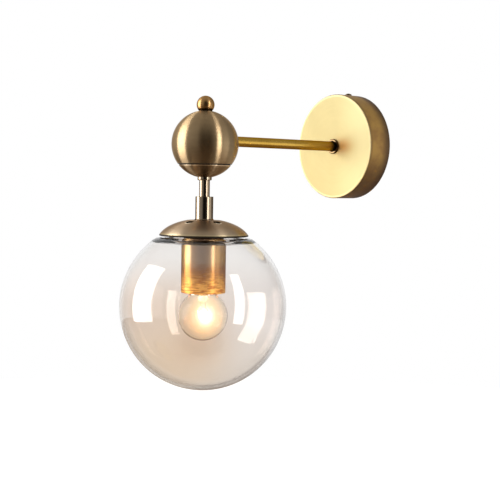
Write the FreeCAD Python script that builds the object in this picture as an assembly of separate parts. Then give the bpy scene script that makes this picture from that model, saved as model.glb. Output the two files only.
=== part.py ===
import FreeCAD, Part
import math
import os

os.makedirs("parts", exist_ok=True)

# Globe wall sconce, in millimetres. The wall is the plane y = 0 and the lamp stands out along -Y.
# The arm runs along y at x = 0, z = 0. The stem, dome, lampholder and globe share a vertical axis.

# Arm
ARM_REACH = 185.0
ARM_D = 9.5
ARM_WALL = 1.0
ARM_TAIL = 8.0
ARM_IN_BLOCK = 9.0

# Canopy on the wall
CANOPY_D = 102.0
CANOPY_DEPTH = 26.0
CANOPY_WALL = 1.2
CANOPY_EDGE_R = 1.5
ARM_COLLAR_D = 14.5
ARM_COLLAR_T = 2.2
ARM_COLLAR_CHAMFER = 0.6
CANOPY_SCREW_INSET = 7.0
CANOPY_SCREW_D = 4.0
CANOPY_SCREW_L = 10.0
CANOPY_SCREW_HEAD_D = 6.4
CANOPY_SCREW_HEAD_H = 2.1
SCREW_SLOT_W = 1.0
SCREW_SLOT_DEPTH = 0.9
PEG_D = 4.0
PEG_LAND = 3.0
PEG_FLANGE_T = 0.8
HEAD_SIDE_SHARE = 0.45
ARM_WASHER_D = 18.5
ARM_WASHER_T = 1.0
ARM_NUT_AF = 14.0
ARM_NUT_H = 3.0
NUT_EASE = 0.55
BUSH_BORE = 5.5
BUSH_L = 4.0
BUSH_FLANGE_D = 10.7
BUSH_FLANGE_T = 1.2
BUSH_ROUND = 0.6

# Wall bracket inside the canopy
BRACKET_W = 22.0
BRACKET_T = 1.5
BRACKET_EAR_GAP = 0.4
BRACKET_EAR_H = 12.0
BRACKET_BEND_R = 1.5
SLOT_SPACING = 68.0
SLOT_L = 10.0
SLOT_W = 4.6
CABLE_HOLE_D = 14.0
CABLE_HOLE_Z = 12.5
EARTH_SCREW_X = 8.0
EARTH_SCREW_Z = 23.5
EARTH_SCREW_D = 4.0
EARTH_SCREW_HEAD_D = 5.6
EARTH_SCREW_HEAD_H = 2.2
EARTH_LUG_T = 0.8
EARTH_LUG_D = 6.0
EARTH_LUG_BARREL_L = 6.0
EARTH_LUG_BARREL_WALL = 0.7
EARTH_LUG_WEB_W = 2.4
EARTH_LUG_WEB_L = 1.0
EARTH_WIRE_LEVEL = 12.0
EARTH_WIRE_STRAIGHT = 3.0

# Terminal block
BLOCK_POLES = 3
BLOCK_PITCH = 7.0
BLOCK_L = 15.0
BLOCK_H = 12.0
BLOCK_BODY_H = 7.2
BLOCK_WELL_D = 5.2
BLOCK_TOP_Z = -8.0
BLOCK_BOSS_H = 2.0
BLOCK_BOSS_D = 6.0
BLOCK_PORT_D = 3.2
POLE_SCREW_D = 3.0
POLE_SCREW_SPACING = 8.0
POLE_SCREW_L = 3.5
POLE_SLOT_W = 0.6
POLE_SLOT_DEPTH = 0.7
BLOCK_SCREW_D = 3.0
BLOCK_SCREW_HEAD_D = 5.2
BLOCK_SCREW_HEAD_H = 1.8
BLOCK_SCREW_SEAT = 4.8

# Ball at the arm's end
BALL_D = 60.0
BALL_WALL = 1.0
BALL_DROP = 3.6
SEAM_DROP = 17.9
SEAM_GROOVE_H = 0.8
SEAM_GROOVE_DEPTH = 0.5
SEAM_LIP_H = 3.0
SEAM_LIP_T = 0.8
FINIAL_D = 16.0
FINIAL_SEAT_D = 11.5
STUD_D = 5.0
STUD_IN_FINIAL = 7.0
STUD_IN_BLOCK = 5.0
STUD_SPACER_D = 9.0

# Junction block inside the ball
JUNCTION_D = 18.0
JUNCTION_RISE = 10.0
JUNCTION_FALL = 16.0
JUNCTION_NOSE_D = 15.0
JUNCTION_NOSE_L = 15.0
JUNCTION_CHAMFER = 1.0
WIREWAY_D = 7.5
STEM_IN_BLOCK = 8.0

# Stem
STEM_D = 9.5
STEM_WALL = 1.0
STEM_COLLAR_D = 12.7
STEM_COLLAR_H = 2.9
STEM_COLLAR_ROUND = 0.9
STEM_SHOWN = 14.5
SLEEVE_D = 16.0
SLEEVE_L = 21.0
SLEEVE_EDGE_R = 0.35
SLEEVE_FOOT_R = 1.2
SLEEVE_FOOT_FLAT = 0.3
SLEEVE_GRIP = 7.0
SLEEVE_CHANNEL_D = 8.0
NIPPLE_D = 10.0
NIPPLE_BORE = 8.0

# Dome over the globe
DOME_D = 81.0
DOME_H = 14.4
DOME_FLAT_D = 29.6
DOME_TUCK = 4.87
DOME_WALL = 1.0
DOME_HEM_T = 0.9
VENT_COUNT = 5
VENT_D = 6.0
VENT_PCD = 41.6
VENT_TURN = -3.7
DOME_SPACER_D = 16.0

# Gallery that carries the globe
GALLERY_T = 1.2
GALLERY_HUB_D = 18.0
GALLERY_ARMS = 3
GALLERY_ARM_W = 8.0
GALLERY_FIRST_ARM = 90.0
SEAL_T = 1.5

# Globe
GLOBE_D = 150.0
GLOBE_GLASS = 2.5
GLOBE_CENTRE_DROP = 149.0
SHOULDER_RISE = 62.0
SHOULDER_R = 11.0
SHOULDER_GLASS = 3.6
NECK_D = 60.0
NECK_FILLET = 1.2
LIP_ROUND = 0.9

# Lampholder cup
CUP_D = 40.0
CUP_WALL = 0.8
CUP_L = 56.8
CUP_EDGE_R = 1.6
CUP_HEM_H = 1.2
CUP_HEM_T = 0.5
CUP_LIP_H = 0.3
LOCK_WASHER_D = 20.0
LOCK_WASHER_T = 1.0
LOCK_NUT_AF = 14.0
LOCK_NUT_H = 5.0

# Lampholder
BRIDGE_D = 34.0
BRIDGE_T = 2.0
BRIDGE_HUB_D = 13.5
BRIDGE_HUB_H = 3.0
WIRE_ROOM = 7.5
CORE_D = 37.4
CORE_RIM_DROP = 4.5
CORE_POST_D = 7.0
CORE_POST_PCD = 21.0
CORE_FLOOR_T = 12.0
CORE_CHAMFER = 1.0
CORE_EDGE_R = 0.8
CORE_MOUTH_CHAMFER = 1.2
HOLDER_SCREW_D = 3.0
HOLDER_SCREW_HEAD_D = 5.5
HOLDER_SCREW_HEAD_H = 1.8
SHELL_WALL = 0.45
SHELL_SHORT = 1.5
SHELL_FLANGE_BORE = 14.6
CONTACT_W = 4.0
CONTACT_T = 0.5
CONTACT_PAD = 3.0
CONTACT_REACH = 3.6
CONTACT_RIVET_X = 4.8
CONTACT_RIVET_D = 2.0
CONTACT_GRIP = 1.8
RIVET_HEAD_D = 3.6
RIVET_HEAD_H = 0.8
TERMINAL_X = 11.5
TERMINAL_W = 6.0
TERMINAL_H = 5.0
TERMINAL_PORT_DEPTH = 3.0
TERMINAL_CLAMP_D = 2.2

# Bulb
BULB_D = 45.0
BULB_GLASS = 0.8
BULB_L = 70.0
BULB_TIP_GAP = 1.9
BULB_CAP_D = 26.4
BULB_CAP_WALL = 0.35
BULB_CAP_SHOULDER_R = 1.2
BULB_CAP_CRIMP_D = 23.2
BULB_NECK_D = 24.4
BULB_NECK_L = 13.6
BULB_CAP_OVERLAP = 0.5
INSULATOR_H = 5.0
INSULATOR_WAIST_D = 13.8
INSULATOR_TOP_D = 9.8
TIP_D = 9.0
TIP_H = 2.0
MOUNT_D = 9.0
MOUNT_TOP_D = 5.0
MOUNT_L = 22.0
FLARE_RIM_H = 1.0
MOUNT_TIP_H = 1.2
LEAD_D = 0.8
LEAD_SPREAD = 15.0
LEAD_RISE = 7.0
LEAD_LAP = 3.0
LEAD_BEND = 1.2
FILAMENT_D = 1.1
FILAMENT_SAG = 4.0

# Wires that run inside
WIRE_D = 1.9
WIRE_PAIR_GAP = 2.4
WIRE_BEND = 3.0
JUNCTION_BEND = 5.0
TERMINAL_BEND = 2.0

# Clearances: in-body seats, screw holes, the globe's neck in its gallery, the bulb's cap in its shell
FIT = 0.1
HOLE_FIT = 0.25
NECK_FIT = 0.4
BULB_FIT = 0.3
PLATE_FIT = 0.3

# How far a cutter runs past the faces it goes through
OVERRUN = 1.0

# Heights down the stem, measured from the arm's axis
ball_r = BALL_D / 2
ball_z = -BALL_DROP
finial_r = FINIAL_D / 2
finial_seat_z = ball_z + math.sqrt(ball_r ** 2 - (FINIAL_SEAT_D / 2) ** 2)
finial_z = finial_seat_z + math.sqrt(finial_r ** 2 - (FINIAL_SEAT_D / 2) ** 2)
seam_z = ball_z - SEAM_DROP
pad_r = STEM_COLLAR_D / 2 + FIT
pad_z = ball_z - math.sqrt(ball_r ** 2 - pad_r ** 2)
collar_bottom_z = pad_z - STEM_COLLAR_H
sleeve_top_z = collar_bottom_z - STEM_SHOWN
dome_top_z = sleeve_top_z - SLEEVE_L
rim_z = dome_top_z - DOME_H
stem_top_z = -JUNCTION_FALL + STEM_IN_BLOCK
stem_bottom_z = sleeve_top_z - SLEEVE_GRIP
nipple_top_z = dome_top_z + SLEEVE_GRIP

# Globe and gallery
globe_r = GLOBE_D / 2
globe_z = -GLOBE_CENTRE_DROP
shoulder_z = globe_z + SHOULDER_RISE
neck_r = NECK_D / 2
skirt_r = neck_r + NECK_FIT
skirt_outer_r = skirt_r + GALLERY_T


def dome_semi_axes():
    """Half width and half height of the ellipse through the dome's rim and its flat top."""
    rim = (DOME_D / 2) ** 2
    flat = (DOME_FLAT_D / 2) ** 2
    low = DOME_TUCK ** 2
    high = (DOME_H + DOME_TUCK) ** 2
    scale = rim * high - flat * low
    return math.sqrt(scale / (high - low)), math.sqrt(scale / (rim - flat))


dome_a, dome_b = dome_semi_axes()


def dome_height(radius, inset=0.0):
    """Height of the dome's surface at a radius; inset moves from the outer face into the metal."""
    a = dome_a - inset
    b = dome_b - inset
    return rim_z - DOME_TUCK + b * math.sqrt(1 - (radius / a) ** 2)


dome_ceiling_z = dome_top_z - DOME_WALL
gallery_top_z = dome_height(skirt_outer_r, DOME_WALL) - PLATE_FIT
gallery_bottom_z = gallery_top_z - GALLERY_T
neck_top_z = gallery_bottom_z - SEAL_T
skirt_bottom_z = shoulder_z + NECK_FILLET + FIT

# Lampholder
cup_r = CUP_D / 2
cup_top_z = gallery_bottom_z
cup_bottom_z = cup_top_z - CUP_L
nut_top_z = cup_top_z - CUP_WALL - LOCK_WASHER_T
bridge_top_z = nut_top_z - LOCK_NUT_H
bridge_bottom_z = bridge_top_z - BRIDGE_T
nipple_bottom_z = bridge_bottom_z - BRIDGE_HUB_H
core_top_z = bridge_bottom_z - WIRE_ROOM
core_bottom_z = cup_bottom_z + CORE_RIM_DROP
core_floor_z = core_top_z - CORE_FLOOR_T
core_r = CORE_D / 2
cap_r = BULB_CAP_D / 2
shell_r = cap_r + BULB_FIT
terminal_wire_z = core_top_z + WIRE_D / 2 + TERMINAL_H / 4

# Bulb
bulb_r = BULB_D / 2
bulb_top_z = core_floor_z - BULB_TIP_GAP
bulb_z = bulb_top_z - BULB_L + bulb_r
bulb_neck_r = BULB_NECK_D / 2
bulb_neck_z = bulb_z + math.sqrt(bulb_r ** 2 - bulb_neck_r ** 2)
cap_top_z = bulb_top_z - TIP_H - INSULATOR_H
bulb_neck_top_z = bulb_neck_z + BULB_NECK_L
mount_tip_z = bulb_neck_top_z - MOUNT_L

# Canopy and bracket
canopy_r = CANOPY_D / 2
face_y = -CANOPY_DEPTH
face_inner_y = face_y + CANOPY_WALL
arm_tail_y = face_inner_y + ARM_TAIL
ear_z = canopy_r - CANOPY_WALL - BRACKET_EAR_GAP
screw_y = -CANOPY_SCREW_INSET
block_y = -BRACKET_T - BLOCK_BOSS_H
block_port_y = block_y - BLOCK_H / 2
arm_head_y = -ARM_REACH + ARM_IN_BLOCK
lug_barrel_y = -BRACKET_T - WIRE_D / 2 - EARTH_LUG_BARREL_WALL
lug_barrel_z = EARTH_SCREW_Z - EARTH_LUG_D / 2

X = FreeCAD.Vector(1, 0, 0)
Y = FreeCAD.Vector(0, 1, 0)
Z = FreeCAD.Vector(0, 0, 1)
ORIGIN = FreeCAD.Vector(0, 0, 0)
STEM_AXIS = FreeCAD.Vector(0, -ARM_REACH, 0)


def at(x, y, z):
    return FreeCAD.Vector(x, y, z)


def outline(start, *steps):
    """Closed face in the r, z half plane. A step is a point, or a pair (point on the arc, its end)."""
    edges = []
    here = at(start[0], 0, start[1])
    for step in list(steps) + [start]:
        curved = isinstance(step[0], tuple)
        end = step[1] if curved else step
        there = at(end[0], 0, end[1])
        if here.distanceToPoint(there) < 1e-7:
            continue
        if curved:
            middle = at(step[0][0], 0, step[0][1])
            edges.append(Part.Arc(here, middle, there).toShape())
        else:
            edges.append(Part.LineSegment(here, there).toShape())
        here = there
    return Part.Face(Part.Wire(edges))


def turned(face):
    """Solid of revolution about the vertical axis through the origin."""
    return face.revolve(ORIGIN, Z, 360)


def on_stem(shape):
    """A copy of a shape that was made about the vertical axis through the origin, on the stem."""
    moved = shape.copy()
    moved.translate(STEM_AXIS)
    return moved


def on_circle(radius, centre_z, angle, centre_r=0.0):
    """Point at an angle in degrees, from outwards towards up, on a circle in the r, z half plane."""
    a = math.radians(angle)
    return (centre_r + radius * math.cos(a), centre_z + radius * math.sin(a))


def elevation(radius, height):
    """Angle in degrees at which a circle about the axis stands at a height over its centre."""
    return math.degrees(math.asin(height / radius))


def arc_step(radius, centre_z, start_angle, end_angle, centre_r=0.0):
    """Outline step: the arc of a circle from one angle to another."""
    middle = on_circle(radius, centre_z, (start_angle + end_angle) / 2, centre_r)
    return (middle, on_circle(radius, centre_z, end_angle, centre_r))


def crown_step(radius, low, high):
    """Outline step: a shallow dome from a radius at one height up to the axis at another."""
    rise = high - low
    big = (radius ** 2 + rise ** 2) / (2 * rise)
    half = math.asin(radius / abs(big)) / 2
    middle = (abs(big) * math.sin(half), high - big + big * math.cos(half))
    return (middle, (0, high))


def rod(diameter, start, end):
    """Solid cylinder from one point to another."""
    run = end - start
    return Part.makeCylinder(diameter / 2, run.Length, start, run)


def ring(outer_d, inner_d, low_z, high_z):
    """Plain upright tube about the vertical axis."""
    ro = outer_d / 2
    ri = inner_d / 2
    return turned(outline((ri, low_z), (ro, low_z), (ro, high_z), (ri, high_z)))


def hexagon(across_flats, low_z, height):
    """Hexagonal prism about the vertical axis, its corners eased as on a turned nut."""
    corner = across_flats / math.sqrt(3)
    points = []
    for k in range(7):
        a = math.radians(60 * k)
        points.append(at(corner * math.cos(a), corner * math.sin(a), low_z))
    prism = Part.Face(Part.makePolygon(points)).extrude(Z * height)
    ease = (corner - across_flats / 2) * NUT_EASE
    blank = turned(outline(
        (0, low_z),
        (corner - ease, low_z),
        (corner, low_z + ease),
        (corner, low_z + height - ease),
        (corner - ease, low_z + height),
        (0, low_z + height),
    ))
    return prism.common(blank)


def slotted_head(diameter, height, base, up):
    """Low domed screw head with a slot, standing on base along up."""
    r = diameter / 2
    face = outline(
        (0, 0),
        (r, 0),
        (r, height * HEAD_SIDE_SHARE),
        crown_step(r, height * HEAD_SIDE_SHARE, height),
    )
    head = turned(face)
    slot = Part.makeBox(diameter + 2, SCREW_SLOT_W, height)
    slot.translate(at(-r - OVERRUN, -SCREW_SLOT_W / 2, height - SCREW_SLOT_DEPTH))
    head = head.cut(slot)
    head.Placement = FreeCAD.Placement(base, FreeCAD.Rotation(Z, up))
    return head


def bent_path(points, bends):
    """Straight runs between points, joined by tangent arcs, one bend radius for each inner point."""
    edges = []
    here = points[0]
    for k, bend in enumerate(bends):
        corner = points[k + 1]
        back = (points[k] - corner).normalize()
        on = (points[k + 2] - corner).normalize()
        half = back.getAngle(on) / 2
        reach = bend / math.tan(half)
        inward = (back + on).normalize()
        start = corner + back * reach
        end = corner + on * reach
        middle = corner + inward * (bend / math.sin(half) - bend)
        edges.append(Part.LineSegment(here, start).toShape())
        edges.append(Part.Arc(start, middle, end).toShape())
        here = end
    edges.append(Part.LineSegment(here, points[-1]).toShape())
    return Part.Wire(edges)


def swept(path, diameter):
    """Round section carried along a path of lines and tangent arcs."""
    first = path.OrderedEdges[0]
    start = first.valueAt(first.FirstParameter)
    tangent = first.tangentAt(first.FirstParameter)
    circle = Part.Wire(Part.makeCircle(diameter / 2, start, tangent))
    return path.makePipeShell([circle], True, False)


def canopy():
    """Spun cup that covers the wall bracket: flat face, rounded edge, open at the wall."""
    ro = canopy_r
    ri = canopy_r - CANOPY_WALL
    re = CANOPY_EDGE_R
    inner_re = re - CANOPY_WALL
    face = outline(
        (0, CANOPY_DEPTH - CANOPY_WALL),
        (ri - inner_re, CANOPY_DEPTH - CANOPY_WALL),
        arc_step(inner_re, CANOPY_DEPTH - CANOPY_WALL - inner_re, 90, 0, ri - inner_re),
        (ri, 0),
        (ro, 0),
        (ro, CANOPY_DEPTH - re),
        arc_step(re, CANOPY_DEPTH - re, 0, 90, ro - re),
        (0, CANOPY_DEPTH),
    )
    cup = turned(face)
    cup.rotate(ORIGIN, X, 90)
    arm_hole = rod(ARM_D + 2 * FIT, at(0, face_y - OVERRUN, 0), at(0, face_inner_y + OVERRUN, 0))
    screw_hole = rod(CANOPY_SCREW_D + 2 * HOLE_FIT, at(0, screw_y, ear_z), at(0, screw_y, ro + OVERRUN))
    peg_hole = rod(PEG_D + 2 * HOLE_FIT, at(0, screw_y, -ear_z), at(0, screw_y, -ro - OVERRUN))
    return cup.cut([arm_hole, screw_hole, peg_hole])


def bracket_profile():
    """Side view of the wall strip in the y, z plane: flat back, an ear bent forward at each end."""
    t = BRACKET_T
    bend = BRACKET_BEND_R
    outer = bend + t
    top = ear_z
    ear_y = -BRACKET_EAR_H

    def corner(centre_y, centre_z, radius, sign):
        mid = radius / math.sqrt(2)
        return at(0, centre_y + mid, centre_z + sign * mid)

    edges = []
    points = [at(0, ear_y, top), at(0, -outer, top)]
    edges.append(Part.LineSegment(points[0], points[1]).toShape())
    up_mid = corner(-outer, top - outer, outer, 1)
    edges.append(Part.Arc(points[1], up_mid, at(0, 0, top - outer)).toShape())
    edges.append(Part.LineSegment(at(0, 0, top - outer), at(0, 0, outer - top)).toShape())
    low_mid = corner(-outer, outer - top, outer, -1)
    edges.append(Part.Arc(at(0, 0, outer - top), low_mid, at(0, -outer, -top)).toShape())
    edges.append(Part.LineSegment(at(0, -outer, -top), at(0, ear_y, -top)).toShape())
    edges.append(Part.LineSegment(at(0, ear_y, -top), at(0, ear_y, t - top)).toShape())
    edges.append(Part.LineSegment(at(0, ear_y, t - top), at(0, -outer, t - top)).toShape())
    in_low = corner(-outer, outer - top, bend, -1)
    edges.append(Part.Arc(at(0, -outer, t - top), in_low, at(0, -t, outer - top)).toShape())
    edges.append(Part.LineSegment(at(0, -t, outer - top), at(0, -t, top - outer)).toShape())
    in_top = corner(-outer, top - outer, bend, 1)
    edges.append(Part.Arc(at(0, -t, top - outer), in_top, at(0, -outer, top - t)).toShape())
    edges.append(Part.LineSegment(at(0, -outer, top - t), at(0, ear_y, top - t)).toShape())
    edges.append(Part.LineSegment(at(0, ear_y, top - t), points[0]).toShape())
    return Part.Face(Part.Wire(edges))


def slot_cutter(centre_z):
    """Upright round-ended slot through the strip."""
    half = (SLOT_L - SLOT_W) / 2
    low = at(0, OVERRUN, centre_z - half)
    high = at(0, OVERRUN, centre_z + half)
    depth = BRACKET_T + 2 * OVERRUN
    web = Part.makeBox(SLOT_W, depth, 2 * half)
    web.translate(at(-SLOT_W / 2, -BRACKET_T - OVERRUN, centre_z - half))
    return web.fuse([rod(SLOT_W, low, low - Y * depth), rod(SLOT_W, high, high - Y * depth)])


def ear_hole(diameter, centre_z):
    """Cutter for the upright hole through one of the strip's ears."""
    return rod(diameter, at(0, screw_y, centre_z - BRACKET_T), at(0, screw_y, centre_z + BRACKET_T))


def wall_bracket():
    """Steel strip screwed to the wall through two slots; its ears hold the canopy."""
    strip = bracket_profile().extrude(X * BRACKET_W)
    strip.translate(X * (-BRACKET_W / 2))
    keep = rod(2 * ear_z, at(0, -BRACKET_EAR_H - OVERRUN, 0), at(0, OVERRUN, 0))
    through = Y * -(BRACKET_T + 2 * OVERRUN)
    cable = at(0, OVERRUN, CABLE_HOLE_Z)
    earth = at(EARTH_SCREW_X, OVERRUN, EARTH_SCREW_Z)
    holes = [
        slot_cutter(SLOT_SPACING / 2),
        slot_cutter(-SLOT_SPACING / 2),
        rod(CABLE_HOLE_D, cable, cable + through),
        rod(EARTH_SCREW_D + 2 * FIT, earth, earth + through),
        ear_hole(CANOPY_SCREW_D + 2 * FIT, ear_z - BRACKET_T / 2),
        ear_hole(PEG_D + 2 * FIT, BRACKET_T / 2 - ear_z),
        block_screw_shaft(2 * FIT),
    ]
    return strip.common(keep).cut(holes)


def canopy_screw():
    """Slotted screw through the canopy's top into the bracket's upper ear."""
    seat = at(0, screw_y, math.sqrt(canopy_r ** 2 - (CANOPY_SCREW_HEAD_D / 2) ** 2))
    tip = at(0, screw_y, canopy_r - CANOPY_SCREW_L)
    shaft = rod(CANOPY_SCREW_D, tip, seat + Z * (CANOPY_SCREW_HEAD_H - SCREW_SLOT_DEPTH))
    head = slotted_head(CANOPY_SCREW_HEAD_D, CANOPY_SCREW_HEAD_H, seat, Z)
    wall = rod(2 * canopy_r + 2 * FIT, at(0, 0, 0), at(0, -CANOPY_DEPTH, 0))
    return head.cut(wall).fuse(shaft).removeSplitter()


def canopy_peg():
    """Stepped peg riveted in the bracket's lower ear, which locates the canopy's lower edge."""
    inside = -ear_z + BRACKET_T
    pin = rod(PEG_D, at(0, screw_y, inside + PEG_FLANGE_T), at(0, screw_y, -canopy_r + FIT))
    flange = rod(PEG_D + PEG_LAND, at(0, screw_y, inside), at(0, screw_y, inside + PEG_FLANGE_T))
    return pin.fuse(flange).removeSplitter()


def block_screw_shaft(extra):
    """Shaft of the terminal block's fixing screw, between its poles, or its hole when made wider."""
    seat = block_screw_seat()
    return rod(BLOCK_SCREW_D + extra, at(seat.x, 0, seat.z), seat)


def block_screw_seat():
    """Place between two poles where the fixing screw's head bears."""
    return at(BLOCK_PITCH / 2, block_y - BLOCK_SCREW_SEAT, BLOCK_TOP_Z - BLOCK_L / 2)


def terminal_block():
    """Moulded three-pole block: round barrels side by side, wire ports and screw wells."""
    width = BLOCK_PITCH * BLOCK_POLES
    low_z = BLOCK_TOP_Z - BLOCK_L
    body = Part.makeBox(width, BLOCK_BODY_H, BLOCK_L, at(-width / 2, block_y - BLOCK_BODY_H, low_z))
    barrels = []
    cutters = []
    for k in range(BLOCK_POLES):
        x = (k - (BLOCK_POLES - 1) / 2) * BLOCK_PITCH
        start = at(x, block_port_y, low_z)
        barrels.append(rod(BLOCK_PITCH - 2 * FIT, start, start + Z * BLOCK_L))
        for side in (-1, 1):
            z = low_z + BLOCK_L / 2 + side * POLE_SCREW_SPACING / 2
            well = at(x, block_port_y, z)
            out = at(x, block_y - BLOCK_H, z)
            barrels.append(rod(BLOCK_WELL_D, well, out))
            cutters.append(rod(POLE_SCREW_D + 2 * FIT, well, out - Y))
        cutters.append(rod(BLOCK_PORT_D, start - Z * OVERRUN, start + Z * (BLOCK_L + OVERRUN)))
    feet = []
    for x in (-BLOCK_PITCH / 2, BLOCK_PITCH / 2):
        foot = at(x, -BRACKET_T, low_z + BLOCK_L / 2)
        feet.append(rod(BLOCK_BOSS_D, foot, at(x, block_y - OVERRUN, low_z + BLOCK_L / 2)))
    seat = block_screw_seat()
    cutters.append(rod(BLOCK_SCREW_HEAD_D + 2 * HOLE_FIT, seat, seat - Y * BLOCK_H))
    cutters.append(block_screw_shaft(2 * FIT))
    return body.fuse(barrels + feet).cut(cutters).removeSplitter()


def pole_screws():
    """Six clamping screws, two for each pole, sunk in their wells."""
    screws = []
    middle = BLOCK_TOP_Z - BLOCK_L / 2
    for k in range(BLOCK_POLES):
        x = (k - (BLOCK_POLES - 1) / 2) * BLOCK_PITCH
        for z in (middle - POLE_SCREW_SPACING / 2, middle + POLE_SCREW_SPACING / 2):
            tip = at(x, block_port_y - WIRE_D / 2 - FIT, z)
            screw = rod(POLE_SCREW_D, tip, tip - Y * POLE_SCREW_L)
            slot = Part.makeBox(2 * POLE_SCREW_D, POLE_SLOT_DEPTH, POLE_SLOT_W)
            slot.translate(tip - Y * POLE_SCREW_L - at(POLE_SCREW_D, 0, POLE_SLOT_W / 2))
            screws.append(screw.cut(slot))
    return Part.makeCompound(screws)


def block_screw():
    """Screw that holds the terminal block to the bracket."""
    head = slotted_head(BLOCK_SCREW_HEAD_D, BLOCK_SCREW_HEAD_H, block_screw_seat(), Y * -1)
    return block_screw_shaft(0).fuse(head).removeSplitter()


def earth_lug():
    """Ring tag under the earth screw, with the barrel that grips the earth wire."""
    back = -BRACKET_T
    front = back - EARTH_LUG_T
    centre = at(EARTH_SCREW_X, back, EARTH_SCREW_Z)
    disc = rod(EARTH_LUG_D, centre, at(EARTH_SCREW_X, front, EARTH_SCREW_Z))
    web_low_z = lug_barrel_z - EARTH_LUG_WEB_L
    barrel_top = at(EARTH_SCREW_X, lug_barrel_y, lug_barrel_z)
    barrel = rod(WIRE_D + 2 * EARTH_LUG_BARREL_WALL, barrel_top, barrel_top - Z * EARTH_LUG_BARREL_L)
    web = Part.makeBox(EARTH_LUG_WEB_W, EARTH_LUG_T, EARTH_SCREW_Z - web_low_z)
    web.translate(at(EARTH_SCREW_X - EARTH_LUG_WEB_W / 2, front, web_low_z))
    bore = rod(WIRE_D + 2 * FIT, barrel_top - Z, barrel_top - Z * (EARTH_LUG_BARREL_L + OVERRUN))
    hole = rod(EARTH_SCREW_D + 2 * FIT, centre + Y * OVERRUN, centre - Y * (EARTH_LUG_T + OVERRUN))
    return disc.fuse([barrel, web]).cut([bore, hole]).removeSplitter()


def earth_screw():
    """Earth terminal screw in the bracket."""
    seat = at(EARTH_SCREW_X, -BRACKET_T - EARTH_LUG_T, EARTH_SCREW_Z)
    tip = at(EARTH_SCREW_X, 0, EARTH_SCREW_Z)
    shaft = rod(EARTH_SCREW_D, tip, seat)
    head = slotted_head(EARTH_SCREW_HEAD_D, EARTH_SCREW_HEAD_H, seat, Y * -1)
    return shaft.fuse(head).removeSplitter()


def pole_mouth(pole):
    """Point where a wire enters a pole from above, half way into its port."""
    x = (pole - (BLOCK_POLES - 1) / 2) * BLOCK_PITCH
    return at(x, block_port_y, BLOCK_TOP_Z - BLOCK_L / 3)


def earth_wire():
    """Earth wire from the third pole up to the ring tag."""
    start = pole_mouth(BLOCK_POLES - 1)
    mouth_z = lug_barrel_z - EARTH_LUG_BARREL_L
    points = [
        start,
        at(start.x, start.y, mouth_z - EARTH_WIRE_LEVEL),
        at(EARTH_SCREW_X, lug_barrel_y, mouth_z - EARTH_WIRE_STRAIGHT),
        at(EARTH_SCREW_X, lug_barrel_y, lug_barrel_z - EARTH_LUG_WEB_L - FIT),
    ]
    return swept(bent_path(points, [WIRE_BEND, WIRE_BEND]), WIRE_D)


def supply_wire(pole, side):
    """Wire from a pole through arm, ball and stem to the lampholder's terminal on one side."""
    start = pole_mouth(pole)
    x = side * WIRE_PAIR_GAP / 2
    corner_z = terminal_wire_z
    terminal_face = TERMINAL_X - TERMINAL_W / 2
    points = [
        start,
        at(start.x, start.y, 0),
        at(x, arm_tail_y + WIRE_BEND / 2, 0),
        at(x, -ARM_REACH, 0),
        at(x, -ARM_REACH, corner_z),
        at(side * (terminal_face + TERMINAL_PORT_DEPTH - FIT), -ARM_REACH, corner_z),
    ]
    bends = [WIRE_BEND, WIRE_BEND, JUNCTION_BEND, TERMINAL_BEND]
    return swept(bent_path(points, bends), WIRE_D)


def arm_tube():
    """Drawn brass tube from inside the canopy to the junction block."""
    outer = rod(ARM_D, at(0, arm_tail_y, 0), at(0, arm_head_y, 0))
    bore = rod(ARM_D - 2 * ARM_WALL, at(0, arm_tail_y + OVERRUN, 0), at(0, arm_head_y - OVERRUN, 0))
    return outer.cut(bore)


def along_arm(shape, base_y):
    """Turns a shape from the vertical axis to the arm's axis, its base at base_y, facing the lamp."""
    moved = shape.copy()
    moved.rotate(ORIGIN, X, 90)
    moved.translate(Y * base_y)
    return moved


def arm_collar():
    """Thin turned ring at the canopy's face, chamfered in front."""
    ri = ARM_D / 2 + FIT
    ro = ARM_COLLAR_D / 2
    c = ARM_COLLAR_CHAMFER
    face = outline(
        (ri, 0),
        (ro, 0),
        (ro, ARM_COLLAR_T - c),
        (ro - c, ARM_COLLAR_T),
        (ri + c, ARM_COLLAR_T),
        (ri, ARM_COLLAR_T - c),
    )
    return along_arm(turned(face), face_y)


def arm_washer():
    """Toothless lock washer behind the canopy's face."""
    return along_arm(ring(ARM_WASHER_D, ARM_D + 2 * FIT, -ARM_WASHER_T, 0), face_inner_y)


def arm_nut():
    """Thin hexagon nut that clamps the arm to the canopy."""
    low = -ARM_WASHER_T - ARM_NUT_H
    bore = rod(ARM_D + 2 * FIT, at(0, 0, low - OVERRUN), at(0, 0, low + ARM_NUT_H + OVERRUN))
    nut = hexagon(ARM_NUT_AF, low, ARM_NUT_H).cut(bore)
    return along_arm(nut, face_inner_y)


def arm_bush():
    """Insulating bush pushed in the tube's end, so that the wires don't chafe."""
    ri = BUSH_BORE / 2
    plug_r = ARM_D / 2 - ARM_WALL - FIT
    flange_r = BUSH_FLANGE_D / 2
    e = BUSH_ROUND
    end = -BUSH_FLANGE_T
    face = outline(
        (ri, BUSH_L),
        (plug_r, BUSH_L),
        (plug_r, 0),
        (flange_r, 0),
        (flange_r, end + e),
        arc_step(e, end + e, 0, -90, flange_r - e),
        (ri + e, end),
        arc_step(e, end + e, -90, -180, ri + e),
    )
    return along_arm(turned(face), arm_tail_y)


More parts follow.
